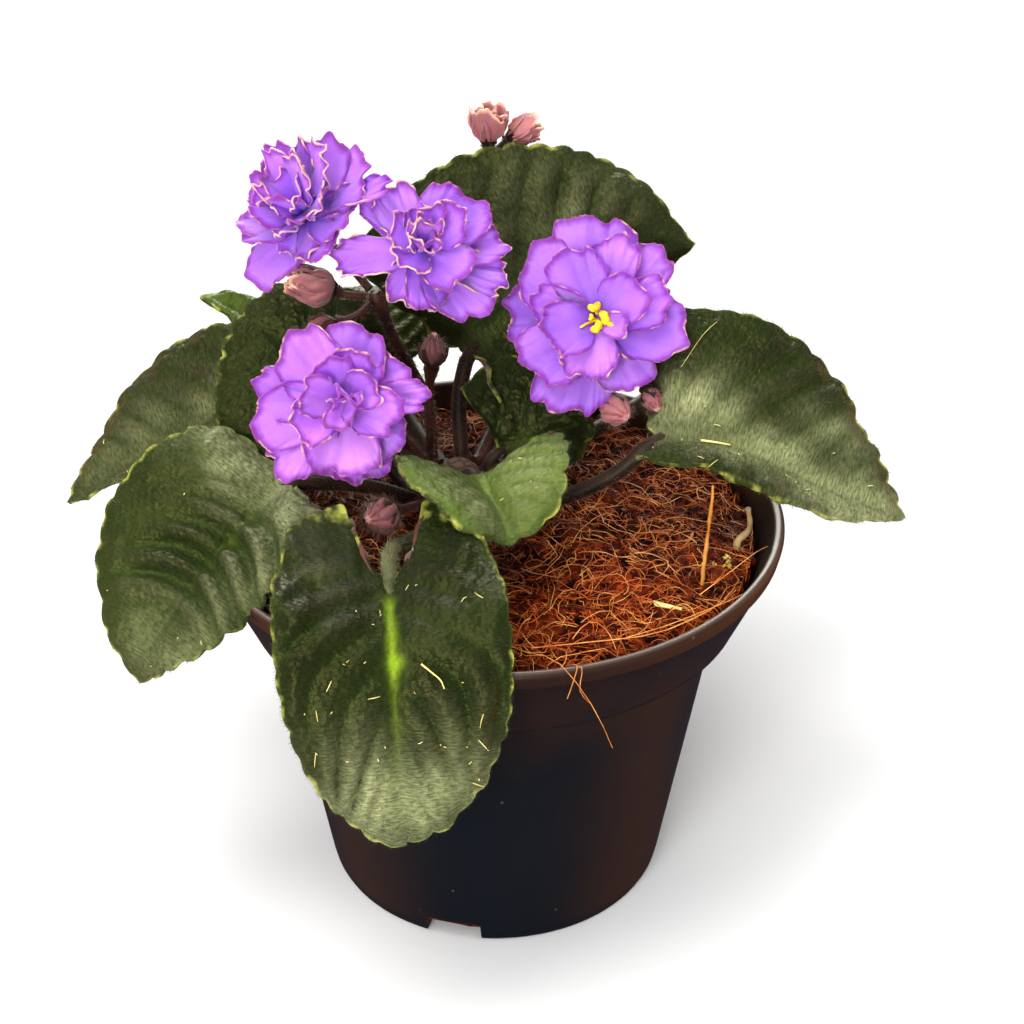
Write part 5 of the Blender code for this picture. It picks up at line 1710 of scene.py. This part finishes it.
class SCENE_OT_violet_studio(bpy.types.Operator):
    """Set up the floor, the softboxes, the room light and the camera"""

    bl_idname = "scene.violet_studio"
    bl_label = "Studio"

    def execute(self, context):
        settings = context.scene.violet_stage
        floor = added(bpy.ops.mesh.primitive_plane_add, size=12.0)
        floor.name = "studio_floor"
        floor.data.materials.append(studio_paper(settings))
        floor.visible_glossy = False
        self.sun(settings)
        self.softbox("front", (-0.36, -1.05, 0.46), 0.50, settings.key, "#FFFFFF")
        self.softbox("upper", (-0.25, -0.25, 0.95), 0.35, settings.upper, "#FFFDF8")
        for glossy_only in (self.softbox("left", (-0.75, 0.45, 0.30), 0.45, settings.fill, "#FF9450"),
                            self.softbox("right", (0.80, 0.40, 0.28), 0.45, settings.fill, "#FF9450"),
                            self.softbox("rear", (-0.05, 0.80, 0.66), 0.80, settings.rear, "#FBFBF0")):
            glossy_only.visible_diffuse = False
        self.room(context, settings)
        self.camera(context)
        context.scene.view_settings.view_transform = "Standard"
        return {"FINISHED"}

    def aim(self, obj, way):
        obj.rotation_euler = Vector(way).to_track_quat("-Z", "Y").to_euler()

    def sun(self, settings):
        """A broad overhead light that leans to the front, for soft shadows on an evenly lit floor."""
        lamp = added(bpy.ops.object.light_add, type="SUN", location=(0, 0, 1))
        lamp.name = "overhead_light"
        lamp.data.energy = settings.sun
        lamp.data.angle = math.radians(70)
        lamp.visible_glossy = False
        self.aim(lamp, (0.08, 0.16, -0.98))

    def room(self, context, settings):
        """A white room to look at, that lights the plant as a dim sky over dark and brown ground."""
        world = bpy.data.worlds.new("room")
        context.scene.world = world
        world.use_nodes = True
        tree = world.node_tree
        tree.nodes.clear()
        way = add_node(tree, "TexCoord").outputs["Generated"]
        split = add_node(tree, "SeparateXYZ", {"Vector": way})
        aside = add_node(tree, "Math", {0: split.outputs["X"]}, operation="ABSOLUTE")
        warm = add_node(tree, "MapRange", {"Value": aside}, span=(0.42, 0.90))
        ground = add_node(tree, "Mix", {0: warm, 6: "#2C3A4C", 7: "#F49A5A"})
        above = add_node(tree, "MapRange", {"Value": split.outputs["Z"]}, span=(-0.05, 0.15))
        colour = add_node(tree, "Mix", {0: above, 6: ground, 7: "#FFFFFF"})
        strength = 0.0, 1.0, 3 * settings.room, settings.room
        power = add_node(tree, "MapRange", {"Value": above}, span=strength)
        dim = add_node(tree, "Background", {"Color": colour, "Strength": power})
        bright = add_node(tree, "Background", {"Color": "#FFFFFF", "Strength": 1.0})
        seen = add_node(tree, "LightPath").outputs["Is Camera Ray"]
        both = add_node(tree, "MixShader", {0: seen, 1: dim, 2: bright})
        add_node(tree, "OutputWorld", {"Surface": both})

    def softbox(self, name, place, size, power, colour):
        lamp = added(bpy.ops.object.light_add, type="AREA", location=place)
        lamp.name = name + "_softbox"
        lamp.data.size = size
        lamp.data.energy = power
        lamp.data.color = linear(colour)
        self.aim(lamp, Vector((0, 0, 0.10)) - Vector(place))
        return lamp

    def camera(self, context):
        camera = added(bpy.ops.object.camera_add, location=(0.0040, -0.4213, 0.3431))
        camera.name = "product_camera"
        camera.data.lens = 76.75
        camera.data.sensor_width = 36.0
        camera.data.clip_start = 0.01
        self.aim(camera, (0, 0.8588, -0.5123))
        context.scene.camera = camera


# -------- panel and registration

STEPS = (OBJECT_OT_violet_pot, OBJECT_OT_violet_coir, OBJECT_OT_violet_crown, OBJECT_OT_violet_leaves,
         OBJECT_OT_violet_stems, OBJECT_OT_violet_flowers, OBJECT_OT_violet_buds, OBJECT_OT_violet_straws,
         SCENE_OT_violet_studio)
SETTINGS = {"violet_pot": POTSETTINGS, "violet_coir": COIRSETTINGS, "violet_leaves": LEAFSETTINGS,
            "violet_flowers": FLOWERSETTINGS, "violet_stage": STAGESETTINGS}


class VIEW3D_PT_violet(bpy.types.Panel):
    """The steps that build the plant, in order, and their settings"""

    bl_idname = "VIEW3D_PT_violet"
    bl_label = "African Violet"
    bl_space_type = "VIEW_3D"
    bl_region_type = "UI"
    bl_category = "Violet"

    def draw(self, context):
        for step in STEPS:
            self.layout.operator(step.bl_idname)
        for name, group in SETTINGS.items():
            box = self.layout.box()
            for field in group.__annotations__:
                box.prop(getattr(context.scene, name), field)


def register():
    for group in SETTINGS.values():
        bpy.utils.register_class(group)
    for name, group in SETTINGS.items():
        setattr(bpy.types.Scene, name, bpy.props.PointerProperty(type=group))
    for step in STEPS:
        bpy.utils.register_class(step)
    bpy.utils.register_class(VIEW3D_PT_violet)


def unregister():
    bpy.utils.unregister_class(VIEW3D_PT_violet)
    for step in reversed(STEPS):
        bpy.utils.unregister_class(step)
    for name, group in SETTINGS.items():
        delattr(bpy.types.Scene, name)
        bpy.utils.unregister_class(group)


def main():
    register()
    bpy.ops.object.violet_pot()
    bpy.ops.object.violet_coir()
    bpy.ops.object.violet_crown()
    bpy.ops.object.violet_leaves()
    bpy.ops.object.violet_stems()
    bpy.ops.object.violet_flowers()
    bpy.ops.object.violet_buds()
    bpy.ops.object.violet_straws()
    bpy.ops.scene.violet_studio()


if __name__ == "__main__":
    main()
